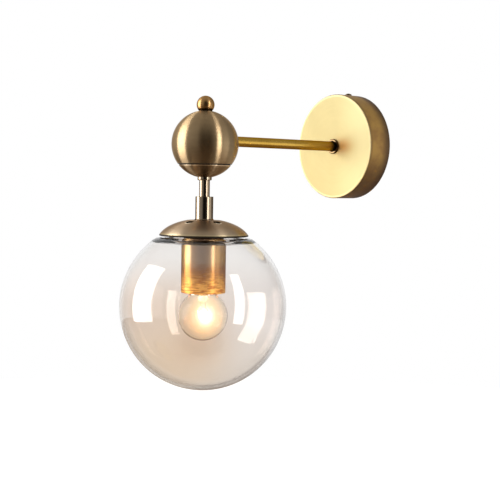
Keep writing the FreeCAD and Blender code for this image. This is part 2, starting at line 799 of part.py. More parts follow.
def ball_shell():
    """Spun upper part of the ball, pressed flat under the finial, with the arm's side hole."""
    ri = ball_r - BALL_WALL
    inner_flat_z = finial_seat_z - BALL_WALL
    hole_r = STUD_D / 2 + HOLE_FIT
    outer_low = elevation(ball_r, seam_z - ball_z)
    outer_high = elevation(ball_r, finial_seat_z - ball_z)
    inner_low = elevation(ri, seam_z - ball_z)
    inner_high = elevation(ri, inner_flat_z - ball_z)
    face = outline(
        on_circle(ball_r, ball_z, outer_low),
        arc_step(ball_r, ball_z, outer_low, outer_high),
        (hole_r, finial_seat_z),
        (hole_r, inner_flat_z),
        on_circle(ri, ball_z, inner_high),
        arc_step(ri, ball_z, inner_high, inner_low),
    )
    arm_hole = rod(ARM_D + 2 * FIT, at(0, 0, 0), at(0, ball_r + OVERRUN, 0))
    return on_stem(turned(face).cut(arm_hole))


def ball_cap():
    """Spun lower part of the ball: a register lip inside the seam and a flat pad for the collar."""
    ri = ball_r - BALL_WALL
    groove_z = seam_z - SEAM_GROOVE_H
    groove_low = elevation(ball_r, groove_z - ball_z)
    pad_out = elevation(ball_r, pad_z - ball_z)
    inner_pad_z = pad_z + BALL_WALL
    pad_in = elevation(ri, inner_pad_z - ball_z)
    land_r = math.sqrt(ball_r ** 2 - (groove_z - ball_z) ** 2) - SEAM_GROOVE_DEPTH
    lip_r = math.sqrt(ri ** 2 - (seam_z - ball_z) ** 2) - FIT
    lip_in = lip_r - SEAM_LIP_T
    lip_root = -math.degrees(math.acos(lip_in / ri))
    bore_r = STEM_D / 2 + FIT
    face = outline(
        (bore_r, pad_z),
        on_circle(ball_r, ball_z, pad_out),
        arc_step(ball_r, ball_z, pad_out, groove_low),
        (land_r, groove_z),
        (land_r, seam_z),
        (lip_r, seam_z),
        (lip_r, seam_z + SEAM_LIP_H),
        (lip_in, seam_z + SEAM_LIP_H),
        on_circle(ri, ball_z, lip_root),
        arc_step(ri, ball_z, lip_root, pad_in),
        (bore_r, inner_pad_z),
    )
    return on_stem(turned(face))


def junction_block():
    """Turned brass core of the ball: takes arm, stem and finial stud, and turns the wires down."""
    post = ring(JUNCTION_D, 0.0, -JUNCTION_FALL, JUNCTION_RISE)
    post = post.makeChamfer(JUNCTION_CHAMFER, [e for e in post.Edges if e.Length > JUNCTION_D * 2])
    nose = rod(JUNCTION_NOSE_D, at(0, 0, 0), at(0, JUNCTION_NOSE_L, 0))
    wireway_side = rod(WIREWAY_D, at(0, 0, 0), at(0, JUNCTION_NOSE_L, 0))
    wireway_down = rod(WIREWAY_D, at(0, 0, -JUNCTION_FALL), at(0, 0, WIREWAY_D / 4))
    arm_seat = rod(ARM_D + 2 * FIT, at(0, ARM_IN_BLOCK, 0), at(0, JUNCTION_NOSE_L + OVERRUN, 0))
    stem_seat = rod(STEM_D + 2 * FIT, at(0, 0, -JUNCTION_FALL - OVERRUN), at(0, 0, stem_top_z))
    stud_foot = at(0, 0, JUNCTION_RISE - STUD_IN_BLOCK)
    stud_seat = rod(STUD_D + 2 * FIT, stud_foot, stud_foot + Z * (STUD_IN_BLOCK + OVERRUN))
    body = post.fuse(nose).cut([wireway_side, wireway_down, arm_seat, stem_seat, stud_seat])
    return on_stem(body.removeSplitter())


def stud_spacer():
    """Tube round the stud, between junction block and ball, that the finial clamps."""
    return on_stem(ring(STUD_SPACER_D, STUD_D + 2 * FIT, JUNCTION_RISE, finial_seat_z - BALL_WALL))


def finial_stud():
    """Threaded stud from the junction block to the finial."""
    low = at(0, 0, JUNCTION_RISE - STUD_IN_BLOCK)
    return on_stem(rod(STUD_D, low, at(0, 0, finial_seat_z + STUD_IN_FINIAL)))


def finial():
    """Small solid ball on the large one, with a flat seat and a blind tapped hole."""
    low = elevation(finial_r, finial_seat_z - finial_z)
    hole_r = STUD_D / 2 + FIT
    hole_top = finial_seat_z + STUD_IN_FINIAL + 2 * FIT
    face = outline(
        (hole_r, finial_seat_z),
        on_circle(finial_r, finial_z, low),
        arc_step(finial_r, finial_z, low, 90),
        (0, hole_top),
        (hole_r, hole_top),
    )
    return on_stem(turned(face))


def stem_collar():
    """Round-edged collar locked on the stem, which holds the ball's lower part up."""
    ri = STEM_D / 2 + FIT
    ro = STEM_COLLAR_D / 2
    r = STEM_COLLAR_ROUND
    face = outline(
        (ri, pad_z),
        (ro, pad_z),
        (ro, collar_bottom_z + r),
        arc_step(r, collar_bottom_z + r, 0, -90, ro - r),
        (ri, collar_bottom_z),
    )
    return on_stem(turned(face))


def stem_tube():
    """Thin drawn tube from the junction block into the sleeve."""
    return on_stem(ring(STEM_D, STEM_D - 2 * STEM_WALL, stem_bottom_z, stem_top_z))


def stem_sleeve():
    """Coupling sleeve: stem above, nipple below, a wire channel between, and a flared foot."""
    r = SLEEVE_D / 2
    e = SLEEVE_EDGE_R
    f = SLEEVE_FOOT_R
    foot_z = dome_top_z + SLEEVE_FOOT_FLAT
    top_r = STEM_D / 2 + FIT
    low_r = NIPPLE_D / 2 + FIT
    mid_r = SLEEVE_CHANNEL_D / 2
    face = outline(
        (low_r, dome_top_z),
        (r + f, dome_top_z),
        (r + f, foot_z),
        arc_step(f, foot_z + f, -90, -180, r + f),
        (r, sleeve_top_z - e),
        arc_step(e, sleeve_top_z - e, 0, 90, r - e),
        (top_r, sleeve_top_z),
        (top_r, stem_bottom_z),
        (mid_r, stem_bottom_z),
        (mid_r, nipple_top_z),
        (low_r, nipple_top_z),
    )
    return on_stem(turned(face))


def dome_cap():
    """Spun dome: elliptical sides, flat top, folded hem at the rim and a ring of vents."""
    rim_r = DOME_D / 2
    t = DOME_WALL
    bore_r = NIPPLE_D / 2 + FIT
    flat_r = DOME_FLAT_D / 2
    hem_r = rim_r - t - DOME_HEM_T
    round_r = (t + DOME_HEM_T) / 2
    hem_base_z = rim_z + round_r
    a_in = dome_a - t
    b_in = dome_b - t
    equator = rim_z - DOME_TUCK

    def ellipse_edge(a, b, r_low, r_high):
        curve = Part.Ellipse(at(a, 0, equator), at(0, 0, equator + b), at(0, 0, equator))
        start = curve.parameter(at(r_low, 0, equator + b * math.sqrt(1 - (r_low / a) ** 2)))
        end = curve.parameter(at(r_high, 0, equator + b * math.sqrt(1 - (r_high / a) ** 2)))
        return Part.ArcOfEllipse(curve, min(start, end), max(start, end)).toShape()

    def side(height):
        return dome_a * math.sqrt(1 - ((height - equator) / dome_b) ** 2)

    outer_low_r = side(hem_base_z)
    inner_flat_r = a_in * math.sqrt(1 - ((dome_ceiling_z - equator) / b_in) ** 2)
    hem_top_z = dome_height(hem_r, t)
    outer_low = at(outer_low_r, 0, hem_base_z)
    outer_high = at(flat_r, 0, dome_top_z)
    inner_low = at(hem_r, 0, hem_top_z)
    inner_high = at(inner_flat_r, 0, dome_ceiling_z)
    hem_in = at(hem_r, 0, hem_base_z)
    bead = at((outer_low_r + hem_r) / 2, 0, rim_z)
    edges = [
        ellipse_edge(dome_a, dome_b, flat_r, outer_low_r),
        Part.LineSegment(outer_high, at(bore_r, 0, dome_top_z)).toShape(),
        Part.LineSegment(at(bore_r, 0, dome_top_z), at(bore_r, 0, dome_ceiling_z)).toShape(),
        Part.LineSegment(at(bore_r, 0, dome_ceiling_z), inner_high).toShape(),
        ellipse_edge(a_in, b_in, inner_flat_r, hem_r),
        Part.LineSegment(inner_low, hem_in).toShape(),
        Part.Arc(hem_in, bead, outer_low).toShape(),
    ]
    shell = turned(Part.Face(Part.Wire(Part.__sortEdges__(edges))))
    vents = []
    for k in range(VENT_COUNT):
        a = math.radians(VENT_TURN + 360 / VENT_COUNT * k)
        foot = at(VENT_PCD / 2 * math.cos(a), VENT_PCD / 2 * math.sin(a), gallery_top_z)
        vents.append(rod(VENT_D, foot, foot + Z * (dome_top_z - gallery_top_z)))
    return on_stem(shell.cut(vents))


def dome_spacer():
    """Turned spacer that keeps the gallery clear below the dome's vents."""
    return on_stem(ring(DOME_SPACER_D, NIPPLE_D + 2 * FIT, gallery_top_z, dome_ceiling_z))


def gallery():
    """Spider that carries the globe: hub, open arms for the air, and a skirt round the neck."""
    hub = ring(GALLERY_HUB_D, NIPPLE_D + 2 * FIT, gallery_bottom_z, gallery_top_z)
    lip_r = neck_r - GLOBE_GLASS
    skirt = turned(outline(
        (lip_r, gallery_bottom_z),
        (skirt_r, gallery_bottom_z),
        (skirt_r, skirt_bottom_z),
        (skirt_outer_r, skirt_bottom_z),
        (skirt_outer_r, gallery_top_z),
        (lip_r, gallery_top_z),
    ))
    arms = []
    start = GALLERY_HUB_D / 2 - OVERRUN
    for k in range(GALLERY_ARMS):
        arm = Part.makeBox(lip_r + OVERRUN - start, GALLERY_ARM_W, GALLERY_T)
        arm.translate(at(start, -GALLERY_ARM_W / 2, gallery_bottom_z))
        arm.rotate(ORIGIN, Z, GALLERY_FIRST_ARM + 360 / GALLERY_ARMS * k)
        arms.append(arm)
    return on_stem(hub.fuse([skirt] + arms).removeSplitter())


def neck_seal():
    """Flat silicone ring between the glass lip and the gallery."""
    return on_stem(ring(NECK_D - 2 * FIT, NECK_D - 2 * GLOBE_GLASS, neck_top_z, gallery_bottom_z))


def shoulder_bend(ball, bend, flat_z):
    """Centre radius and height of the bend from the flat shoulder into the ball, and where they join."""
    z = flat_z - bend
    r = math.sqrt((ball - bend) ** 2 - (z - globe_z) ** 2)
    return r, z, math.degrees(math.atan2(z - globe_z, r))


def globe():
    """Blown glass globe: sphere, thick flattened shoulder and a short open neck with a rounded lip."""
    t = GLOBE_GLASS
    f = NECK_FILLET
    blend_r, blend_z, join = shoulder_bend(globe_r, SHOULDER_R, shoulder_z)
    inside_z = shoulder_z - SHOULDER_GLASS
    inside_r, inside_bend_z, inside_join = shoulder_bend(globe_r - t, SHOULDER_R - t, inside_z)
    corner_r = neck_r + f
    e = LIP_ROUND
    wall = neck_r - t
    face = outline(
        (0, globe_z - globe_r),
        arc_step(globe_r, globe_z, -90, join),
        arc_step(SHOULDER_R, blend_z, join, 90, blend_r),
        (corner_r, shoulder_z),
        arc_step(f, shoulder_z + f, -90, -180, corner_r),
        (neck_r, neck_top_z - e),
        arc_step(e, neck_top_z - e, 0, 90, neck_r - e),
        (wall + e, neck_top_z),
        arc_step(e, neck_top_z - e, 90, 180, wall + e),
        (wall, inside_z + t + f),
        arc_step(f + t, inside_z + t + f, -180, -90, corner_r),
        (inside_r, inside_z),
        arc_step(SHOULDER_R - t, inside_bend_z, 90, inside_join, inside_r),
        arc_step(globe_r - t, globe_z, inside_join, -90),
    )
    return on_stem(turned(face))


def socket_cup():
    """Drawn cup round the lampholder, closed on top, hemmed at its mouth."""
    t = CUP_WALL
    e = CUP_EDGE_R
    bore_r = NIPPLE_D / 2 + FIT
    face = outline(
        (bore_r, cup_top_z - t),
        (cup_r - e, cup_top_z - t),
        arc_step(e - t, cup_top_z - e, 90, 0, cup_r - e),
        (cup_r - t, cup_bottom_z + CUP_HEM_H + CUP_HEM_T),
        (cup_r - t - CUP_HEM_T, cup_bottom_z + CUP_HEM_H),
        (cup_r - t - CUP_HEM_T, cup_bottom_z + CUP_LIP_H),
        ((cup_r - (t + CUP_HEM_T) / 2, cup_bottom_z), (cup_r, cup_bottom_z + CUP_LIP_H)),
        (cup_r, cup_top_z - e),
        arc_step(e, cup_top_z - e, 0, 90, cup_r - e),
        (bore_r, cup_top_z),
    )
    return on_stem(turned(face))


def lock_washer():
    """Washer under the cup's top."""
    return on_stem(ring(LOCK_WASHER_D, NIPPLE_D + 2 * FIT, nut_top_z, nut_top_z + LOCK_WASHER_T))


def lock_nut():
    """Hexagon nut that draws sleeve, dome, spacer, gallery and cup together."""
    nut = hexagon(LOCK_NUT_AF, bridge_top_z, LOCK_NUT_H)
    bore = rod(NIPPLE_D + 2 * FIT, at(0, 0, bridge_top_z - OVERRUN), at(0, 0, nut_top_z + OVERRUN))
    return on_stem(nut.cut(bore))


def stem_nipple():
    """Hollow threaded nipple from the sleeve down to the lampholder's bridge."""
    return on_stem(ring(NIPPLE_D, NIPPLE_BORE, nipple_bottom_z, nipple_top_z))


def post_points(height):
    """Places of the two lampholder screws at a height."""
    return [at(0, side * CORE_POST_PCD / 2, height) for side in (-1, 1)]


def holder_bridge():
    """Round plate with a tapped hub on the nipple, which the lampholder hangs from."""
    plate = ring(BRIDGE_D, NIPPLE_D + 2 * FIT, bridge_bottom_z, bridge_top_z)
    hub = ring(BRIDGE_HUB_D, NIPPLE_D + 2 * FIT, nipple_bottom_z, bridge_bottom_z)
    flats = []
    for side in (-1, 1):
        box = Part.makeBox(BRIDGE_D / 2, BRIDGE_D, BRIDGE_T + 2)
        box_x = side * (TERMINAL_X + BRIDGE_D / 4) - BRIDGE_D / 4
        box.translate(at(box_x, -BRIDGE_D / 2, bridge_bottom_z - OVERRUN))
        flats.append(box)
    starts = post_points(bridge_bottom_z - OVERRUN)
    holes = [rod(HOLDER_SCREW_D + 2 * FIT, p, p + Z * (BRIDGE_T + 2 * OVERRUN)) for p in starts]
    return on_stem(plate.cut(flats).fuse(hub).cut(holes).removeSplitter())


def holder_core():
    """Ceramic lampholder: well for the screw shell, two posts, and a top that seats the terminals."""
    well_r = shell_r + SHELL_WALL + FIT
    e = CORE_EDGE_R
    body = turned(outline(
        (0, core_top_z),
        (core_r - CORE_CHAMFER, core_top_z),
        (core_r, core_top_z - CORE_CHAMFER),
        (core_r, core_bottom_z + e),
        arc_step(e, core_bottom_z + e, 0, -90, core_r - e),
        (well_r + CORE_MOUTH_CHAMFER, core_bottom_z),
        (well_r, core_bottom_z + CORE_MOUTH_CHAMFER),
        (well_r, core_floor_z),
        (0, core_floor_z),
    ))
    posts = [rod(CORE_POST_D, p, p + Z * WIRE_ROOM) for p in post_points(core_top_z)]
    through = Z * (CORE_FLOOR_T + WIRE_ROOM + 2 * OVERRUN)
    starts = post_points(core_floor_z - OVERRUN)
    bores = [rod(HOLDER_SCREW_D + 2 * HOLE_FIT, p, p + through) for p in starts]
    feed_d = CONTACT_RIVET_D + 2 * FIT
    feed_foot = at(-CONTACT_RIVET_X, 0, core_floor_z - OVERRUN)
    feed = rod(feed_d, feed_foot, feed_foot + Z * (CORE_FLOOR_T + 2 * OVERRUN))
    return on_stem(body.fuse(posts).cut(bores + [feed]).removeSplitter())


def holder_screws():
    """Two screws from the lampholder's well up into the bridge."""
    screws = []
    for p in post_points(core_floor_z - SHELL_WALL):
        shaft = rod(HOLDER_SCREW_D, p, at(p.x, p.y, bridge_top_z))
        head = slotted_head(HOLDER_SCREW_HEAD_D, HOLDER_SCREW_HEAD_H, p, Z * -1)
        screws.append(shaft.fuse(head).removeSplitter())
    return on_stem(Part.makeCompound(screws))


def holder_terminals():
    """Two brass wire terminals on the lampholder's top."""
    blocks = []
    for side in (-1, 1):
        x = side * TERMINAL_X
        block = Part.makeBox(TERMINAL_W, TERMINAL_W, TERMINAL_H)
        block.translate(at(x - TERMINAL_W / 2, -TERMINAL_W / 2, core_top_z))
        mouth = x - side * TERMINAL_W / 2
        port = rod(WIRE_D + 2 * FIT, at(mouth - side, 0, terminal_wire_z),
                   at(mouth + side * TERMINAL_PORT_DEPTH, 0, terminal_wire_z))
        clamp_foot = at(x, 0, terminal_wire_z + WIRE_D)
        clamp = rod(TERMINAL_CLAMP_D, clamp_foot, clamp_foot + Z * TERMINAL_H)
        blocks.append(block.cut([port, clamp]))
    return on_stem(Part.makeCompound(blocks))


def screw_shell():
    """Brass sleeve that the bulb's cap screws into, with a flange under the ceramic's floor."""
    top = core_floor_z
    bottom = core_bottom_z + SHELL_SHORT
    r = shell_r
    t = SHELL_WALL
    flange_r = SHELL_FLANGE_BORE / 2
    face = outline(
        (flange_r, top),
        (r + t, top),
        (r + t, bottom),
        (r, bottom),
        (r, top - t),
        (flange_r, top - t),
    )
    through = Z * (t + 2 * OVERRUN)
    holes = [rod(HOLDER_SCREW_D + 2 * HOLE_FIT, p, p + through) for p in post_points(top - t - OVERRUN)]
    return on_stem(turned(face).cut(holes))


def centre_contact():
    """Sprung tongue: riveted flat to the ceramic, bent down to the bulb's tip."""
    t = CONTACT_T
    top = core_floor_z
    drop = top - t - bulb_top_z - FIT
    root = CONTACT_RIVET_X
    end = CONTACT_REACH
    pad = CONTACT_PAD / 2
    grip = CONTACT_GRIP
    side = [
        at(-root - grip, 0, top),
        at(-root + grip, 0, top),
        at(-pad, 0, top - drop),
        at(pad, 0, top - drop),
        at(end, 0, top - drop / 2),
        at(end, 0, top - drop / 2 - t),
        at(pad, 0, top - drop - t),
        at(-pad, 0, top - drop - t),
        at(-root + grip, 0, top - t),
        at(-root - grip, 0, top - t),
    ]
    strip = Part.Face(Part.makePolygon(side + side[:1])).extrude(Y * CONTACT_W)
    strip.translate(Y * (-CONTACT_W / 2))
    rivet = rod(CONTACT_RIVET_D, at(-root, 0, top - t), at(-root, 0, core_top_z))
    cap = rod(RIVET_HEAD_D, at(-root, 0, core_top_z), at(-root, 0, core_top_z + RIVET_HEAD_H))
    return on_stem(strip.fuse([rivet, cap]).removeSplitter())


def bulb_tip():
    """Solder tip at the bulb's centre contact."""
    r = TIP_D / 2
    base = bulb_top_z - TIP_H
    face = outline(
        (0, base),
        (r, base),
        (r, base + TIP_H / 3),
        crown_step(r, base + TIP_H / 3, bulb_top_z),
    )
    return on_stem(turned(face))


def bulb_insulator():
    """Black glass cone between the cap's shell and its tip."""
    low = cap_top_z
    top = cap_top_z + INSULATOR_H
    face = outline(
        (0, low),
        (BULB_CAP_CRIMP_D / 2, low),
        (INSULATOR_WAIST_D / 2, low + INSULATOR_H / 2),
        (INSULATOR_TOP_D / 2, top),
        (0, top),
    )
    return on_stem(turned(face))


def bulb_cap():
    """Nickel screw cap of the bulb: a thin shell, crimped in above, open over the glass below."""
    t = BULB_CAP_WALL
    r = cap_r
    top = cap_top_z
    low = bulb_neck_z + BULB_CAP_OVERLAP
    e = BULB_CAP_SHOULDER_R
    face = outline(
        (BULB_CAP_CRIMP_D / 2, top),
        (BULB_CAP_CRIMP_D / 2, top - t),
        (r - e, top - t),
        arc_step(e - t, top - e, 90, 0, r - e),
        (r - t, low),
        (r, low),
        (r, top - e),
        arc_step(e, top - e, 0, 90, r - e),
    )
    return on_stem(turned(face))


def bulb_glass():
    """Clear round bulb blown in one piece with the neck that is cemented in the cap."""
    t = BULB_GLASS
    neck = bulb_neck_r
    join = math.degrees(math.acos(neck / bulb_r))
    inner = bulb_r - t
    inner_join = math.degrees(math.acos((neck - t) / inner))
    top = bulb_neck_top_z
    face = outline(
        (0, bulb_z - bulb_r),
        arc_step(bulb_r, bulb_z, -90, join),
        (neck, top),
        (neck - t, top),
        on_circle(inner, bulb_z, inner_join),
        arc_step(inner, bulb_z, inner_join, -90),
    )
    return on_stem(turned(face))


def bulb_mount():
    """Glass flare and stem that carry the filament's leads."""
    top = bulb_neck_top_z
    wide = bulb_neck_r - BULB_GLASS - FIT
    r = MOUNT_D / 2
    tip_r = MOUNT_TOP_D / 2
    low = mount_tip_z
    flare = wide - r
    flare_top = top - FLARE_RIM_H
    face = outline(
        (0, top),
        (wide, top),
        (wide, flare_top),
        arc_step(flare, flare_top - flare, 90, 180, wide),
        (tip_r, low + MOUNT_TIP_H),
        crown_step(tip_r, low + MOUNT_TIP_H, low),
    )
    return on_stem(turned(face))


def filament_z():
    """Height at which the leads hold the filament's ends."""
    return mount_tip_z - LEAD_RISE


def bulb_leads():
    """Two stiff wires from the glass mount out to the filament's ends."""
    near = MOUNT_TOP_D / 2 + LEAD_D / 2 + 3 * FIT
    far = LEAD_SPREAD / 2
    end = filament_z()
    wires = []
    for side in (-1, 1):
        points = [
            at(side * near, 0, mount_tip_z + LEAD_LAP / 2),
            at(side * near, 0, mount_tip_z - LEAD_LAP),
            at(side * far, 0, end + LEAD_LAP / 2),
            at(side * far, 0, end - FILAMENT_D),
        ]
        wires.append(swept(bent_path(points, [LEAD_BEND, LEAD_BEND]), LEAD_D))
    return on_stem(Part.makeCompound(wires))


def bulb_filament():
    """Bowed filament between the leads, as one fat coil envelope."""
    half = LEAD_SPREAD / 2 - LEAD_D / 2 - 5 * FIT
    z = filament_z() - FILAMENT_D / 2
    arc = Part.Arc(at(-half, 0, z), at(0, 0, z - FILAMENT_SAG), at(half, 0, z))
    return on_stem(swept(Part.Wire([arc.toShape()]), FILAMENT_D))


PARTS = {
    "canopy": canopy,
    "wall_bracket": wall_bracket,
    "canopy_screw": canopy_screw,
    "canopy_peg": canopy_peg,
    "terminal_block": terminal_block,
    "pole_screws": pole_screws,
    "block_screw": block_screw,
    "earth_lug": earth_lug,
    "earth_screw": earth_screw,
    "earth_wire": earth_wire,
    "live_wire": lambda: supply_wire(0, -1),
    "neutral_wire": lambda: supply_wire(1, 1),
    "arm_tube": arm_tube,
    "arm_collar": arm_collar,
    "arm_washer": arm_washer,
    "arm_nut": arm_nut,
    "arm_bush": arm_bush,
    "ball_shell": ball_shell,
    "ball_cap": ball_cap,
    "junction_block": junction_block,
    "stud_spacer": stud_spacer,
    "finial_stud": finial_stud,
    "finial": finial,
    "stem_collar": stem_collar,
    "stem_tube": stem_tube,
    "stem_sleeve": stem_sleeve,
    "stem_nipple": stem_nipple,
    "dome_cap": dome_cap,
    "dome_spacer": dome_spacer,
    "gallery": gallery,
    "neck_seal": neck_seal,
    "globe": globe,
    "socket_cup": socket_cup,
    "lock_washer": lock_washer,
    "lock_nut": lock_nut,
    "holder_bridge": holder_bridge,
    "holder_core": holder_core,
    "holder_screws": holder_screws,
    "holder_terminals": holder_terminals,
    "screw_shell": screw_shell,
    "centre_contact": centre_contact,
    "bulb_tip": bulb_tip,
    "bulb_insulator": bulb_insulator,
    "bulb_cap": bulb_cap,
    "bulb_glass": bulb_glass,
    "bulb_mount": bulb_mount,
    "bulb_leads": bulb_leads,
    "bulb_filament": bulb_filament,
}

for node, make in PARTS.items():
    shape = make()
    if not shape.isValid() or shape.Volume <= 0:
        raise SystemExit(f"{node} isn't a sound solid")
    shape.exportStep(f"parts/{node}.step")
    box = shape.BoundBox
    print(f"{node}: {len(shape.Solids)} solid, {shape.Volume:.1f} mm3")
    print(f"    z {box.ZMin:.1f} to {box.ZMax:.1f}")
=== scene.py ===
import math

import bmesh
import bpy
from mathutils import Matrix, Vector


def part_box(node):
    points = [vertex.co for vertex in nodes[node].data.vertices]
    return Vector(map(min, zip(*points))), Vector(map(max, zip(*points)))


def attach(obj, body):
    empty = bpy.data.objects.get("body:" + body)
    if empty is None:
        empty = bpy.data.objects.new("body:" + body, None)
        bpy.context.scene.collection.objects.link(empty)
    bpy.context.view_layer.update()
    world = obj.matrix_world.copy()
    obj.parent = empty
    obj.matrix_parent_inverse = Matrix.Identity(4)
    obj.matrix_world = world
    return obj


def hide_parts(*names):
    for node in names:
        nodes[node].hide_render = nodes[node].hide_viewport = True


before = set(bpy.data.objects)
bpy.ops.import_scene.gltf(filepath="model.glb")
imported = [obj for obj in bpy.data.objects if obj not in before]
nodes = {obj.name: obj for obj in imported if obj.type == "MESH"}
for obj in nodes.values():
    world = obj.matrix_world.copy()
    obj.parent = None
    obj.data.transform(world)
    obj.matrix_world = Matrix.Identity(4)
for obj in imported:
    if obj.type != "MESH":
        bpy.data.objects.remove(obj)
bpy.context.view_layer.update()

scene = bpy.context.scene

# Places in the frame: metres, and degrees for angles

STEM_Y = -0.185  # axis of ball, stem, dome, globe and bulb
GLOBE_Z = -0.149
BULB_LAMP_Z = -0.157
FLOOR_Z = -0.75
TO_CAMERA = -39.7  # azimuth of the camera, seen from the globe


# Camera, from the photograph's fitted view

CAMERA_PLACE = (0.77135, -0.77123, -0.039809)
CAMERA_LENS = 77.793
YAW, PITCH, ROLL = (math.radians(a) for a in (50.307, -3.414, -0.913))

forward = Vector((-math.sin(YAW) * math.cos(PITCH), math.cos(YAW) * math.cos(PITCH), math.sin(PITCH)))
level = Vector((math.cos(YAW), math.sin(YAW), 0))
down = forward.cross(level)
side = level * math.cos(ROLL) + down * math.sin(ROLL)
drop = down * math.cos(ROLL) - level * math.sin(ROLL)
camera = bpy.data.objects.new("camera", bpy.data.cameras.new("camera"))
camera.data.lens = CAMERA_LENS
camera.data.sensor_width = 36.0
camera.data.clip_start = 0.05
camera.matrix_world = Matrix((side, -drop, -forward)).transposed().to_4x4()
camera.matrix_world.translation = Vector(CAMERA_PLACE)
scene.collection.objects.link(camera)
scene.camera = camera
scene.view_settings.view_transform = "Standard"


# Node helpers

class Net:
    """Short way to write the nodes of a material, a lamp or the world."""

    def __init__(self, owner, output="OutputMaterial"):
        owner.use_nodes = True
        self.owner = owner
        self.tree = owner.node_tree
        self.tree.nodes.clear()
        self.out = self.node(output)

    def node(self, kind, **settings):
        made = self.tree.nodes.new("ShaderNode" + kind)
        for key, value in settings.items():
            setattr(made, key, value)
        return made

    def link(self, source, target):
        self.tree.links.new(source, target)

    def put(self, value, socket):
        """Links a node's output, or sets a number or a colour."""
        if isinstance(value, bpy.types.NodeSocket):
            self.link(value, socket)
            return
        if isinstance(value, tuple) and socket.type == "RGBA":
            value = value + (1.0,)
        socket.default_value = value

    def math(self, operation, *values, clamp=False):
        made = self.node("Math", operation=operation, use_clamp=clamp)
        for value, socket in zip(values, made.inputs):
            self.put(value, socket)
        return made.outputs[0]

    def vmath(self, operation, *values):
        made = self.node("VectorMath", operation=operation)
        for value, socket in zip(values, made.inputs):
            self.put(value, socket)
        return made.outputs["Value" if operation in ("LENGTH", "DOT_PRODUCT") else "Vector"]

    def split(self, vector):
        made = self.node("SeparateXYZ")
        self.link(vector, made.inputs[0])
        return made.outputs

    def join(self, x, y, z):
        made = self.node("CombineXYZ")
        for value, socket in zip((x, y, z), made.inputs):
            self.put(value, socket)
        return made.outputs[0]

    def noise(self, vector, scale, detail, rough):
        made = self.node("TexNoise")
        self.link(vector, made.inputs["Vector"])
        for name, number in {"Scale": scale, "Detail": detail, "Roughness": rough}.items():
            made.inputs[name].default_value = number
        return made.outputs["Fac"]

    def ramp(self, value, low, high, out_low=0.0, out_high=1.0):
        """Smooth step from out_low to out_high, which may run downwards, with low above high."""
        made = self.node("MapRange", interpolation_type="SMOOTHSTEP")
        self.put(value, made.inputs["Value"])
        limits = {"From Min": low, "From Max": high, "To Min": out_low, "To Max": out_high}
        for name, number in limits.items():
            made.inputs[name].default_value = number
        return made.outputs["Result"]

    def times(self, *values):
        """Product of all values."""
        product = values[0]
        for value in values[1:]:
            product = self.math("MULTIPLY", product, value)
        return product

    def less(self, share, value):
        """The share where the value is 0, down to nothing where it is 1."""
        return self.math("SUBTRACT", share, self.times(value, share))

    def from_centre(self, value, centre, spread):
        return self.math("DIVIDE", self.math("SUBTRACT", value, centre), spread)

    def bell(self, *values):
        """1 where all values are 0, and falls off with the sum of their squares."""
        total = self.math("POWER", values[0], 2.0)
        for value in values[1:]:
            total = self.math("ADD", total, self.math("POWER", value, 2.0))
        return self.math("EXPONENT", self.math("MULTIPLY", total, -1.0))

    def mix(self, factor, a, b):
        made = self.node("Mix", data_type="RGBA")
        for value, socket in ((factor, "Factor"), (a, 6), (b, 7)):
            self.put(value, made.inputs[socket])
        return made.outputs[2]

    def place(self):
        """Place in the frame, in metres."""
        return self.node("TexCoord").outputs["Object"]

    def light_path(self):
        return self.node("LightPath").outputs

    def bump(self, height, distance):
        made = self.node("Bump")
        self.link(height, made.inputs["Height"])
        made.inputs["Distance"].default_value = distance
        made.inputs["Strength"].default_value = 1.0
        return made.outputs["Normal"]

    def surface(self, shader):
        self.link(shader, self.out.inputs["Surface"])

    def principled(self, **values):
        made = self.node("BsdfPrincipled")
        for key, value in values.items():
            self.put(value, made.inputs[key.replace("_", " ")])
        self.surface(made.outputs[0])
        return made

    def shine(self, kind, colour, strength=1.0):
        """Emission, or the world's Background."""
        made = self.node(kind)
        self.put(colour, made.inputs["Color"])
        self.put(strength, made.inputs["Strength"])
        return made.outputs[0]

    def choose(self, factor, shader, other):
        """The first shader where the factor is 0, and the other where it is 1."""
        made = self.node("MixShader")
        for value, socket in zip((factor, shader, other), made.inputs):
            self.link(value, socket)
        return made.outputs[0]


def new_material(name):
    return Net(bpy.data.materials.new(name))


def dress(material, *names):
    """Gives a material to CAD nodes or to pieces made here."""
    for name in names:
        thing = nodes[name] if isinstance(name, str) else name
        if not thing.material_slots:
            thing.data.materials.append(material)
        for entry in thing.material_slots:
            entry.material = material


def new_piece(name, verts, faces, smooth=None):
    """Mesh object from points and faces. smooth says for each face whether it is shaded smooth."""
    mesh = bpy.data.meshes.new(name)
    mesh.from_pydata(verts, [], faces)
    if smooth:
        mesh.polygons.foreach_set("use_smooth", smooth)
    made = bpy.data.objects.new(name, mesh)
    scene.collection.objects.link(made)
    return made


# Metal that was turned or brushed about an axis

HAIRLINES, RINGS, CLOUDS = 2600.0, 420.0, 28.0  # scales of the noise
RING_DRIFT = 0.004  # how far the brushing changes on its way round, as the radius of a circle in the noise
RING_SLANT = 0.83  # share of the radius in it, which puts rings on flat faces too
BRUSH_DEPTH = 0.000036
NICKEL = ((0.66, 0.63, 0.58), (0.50, 0.47, 0.43), 0.2)


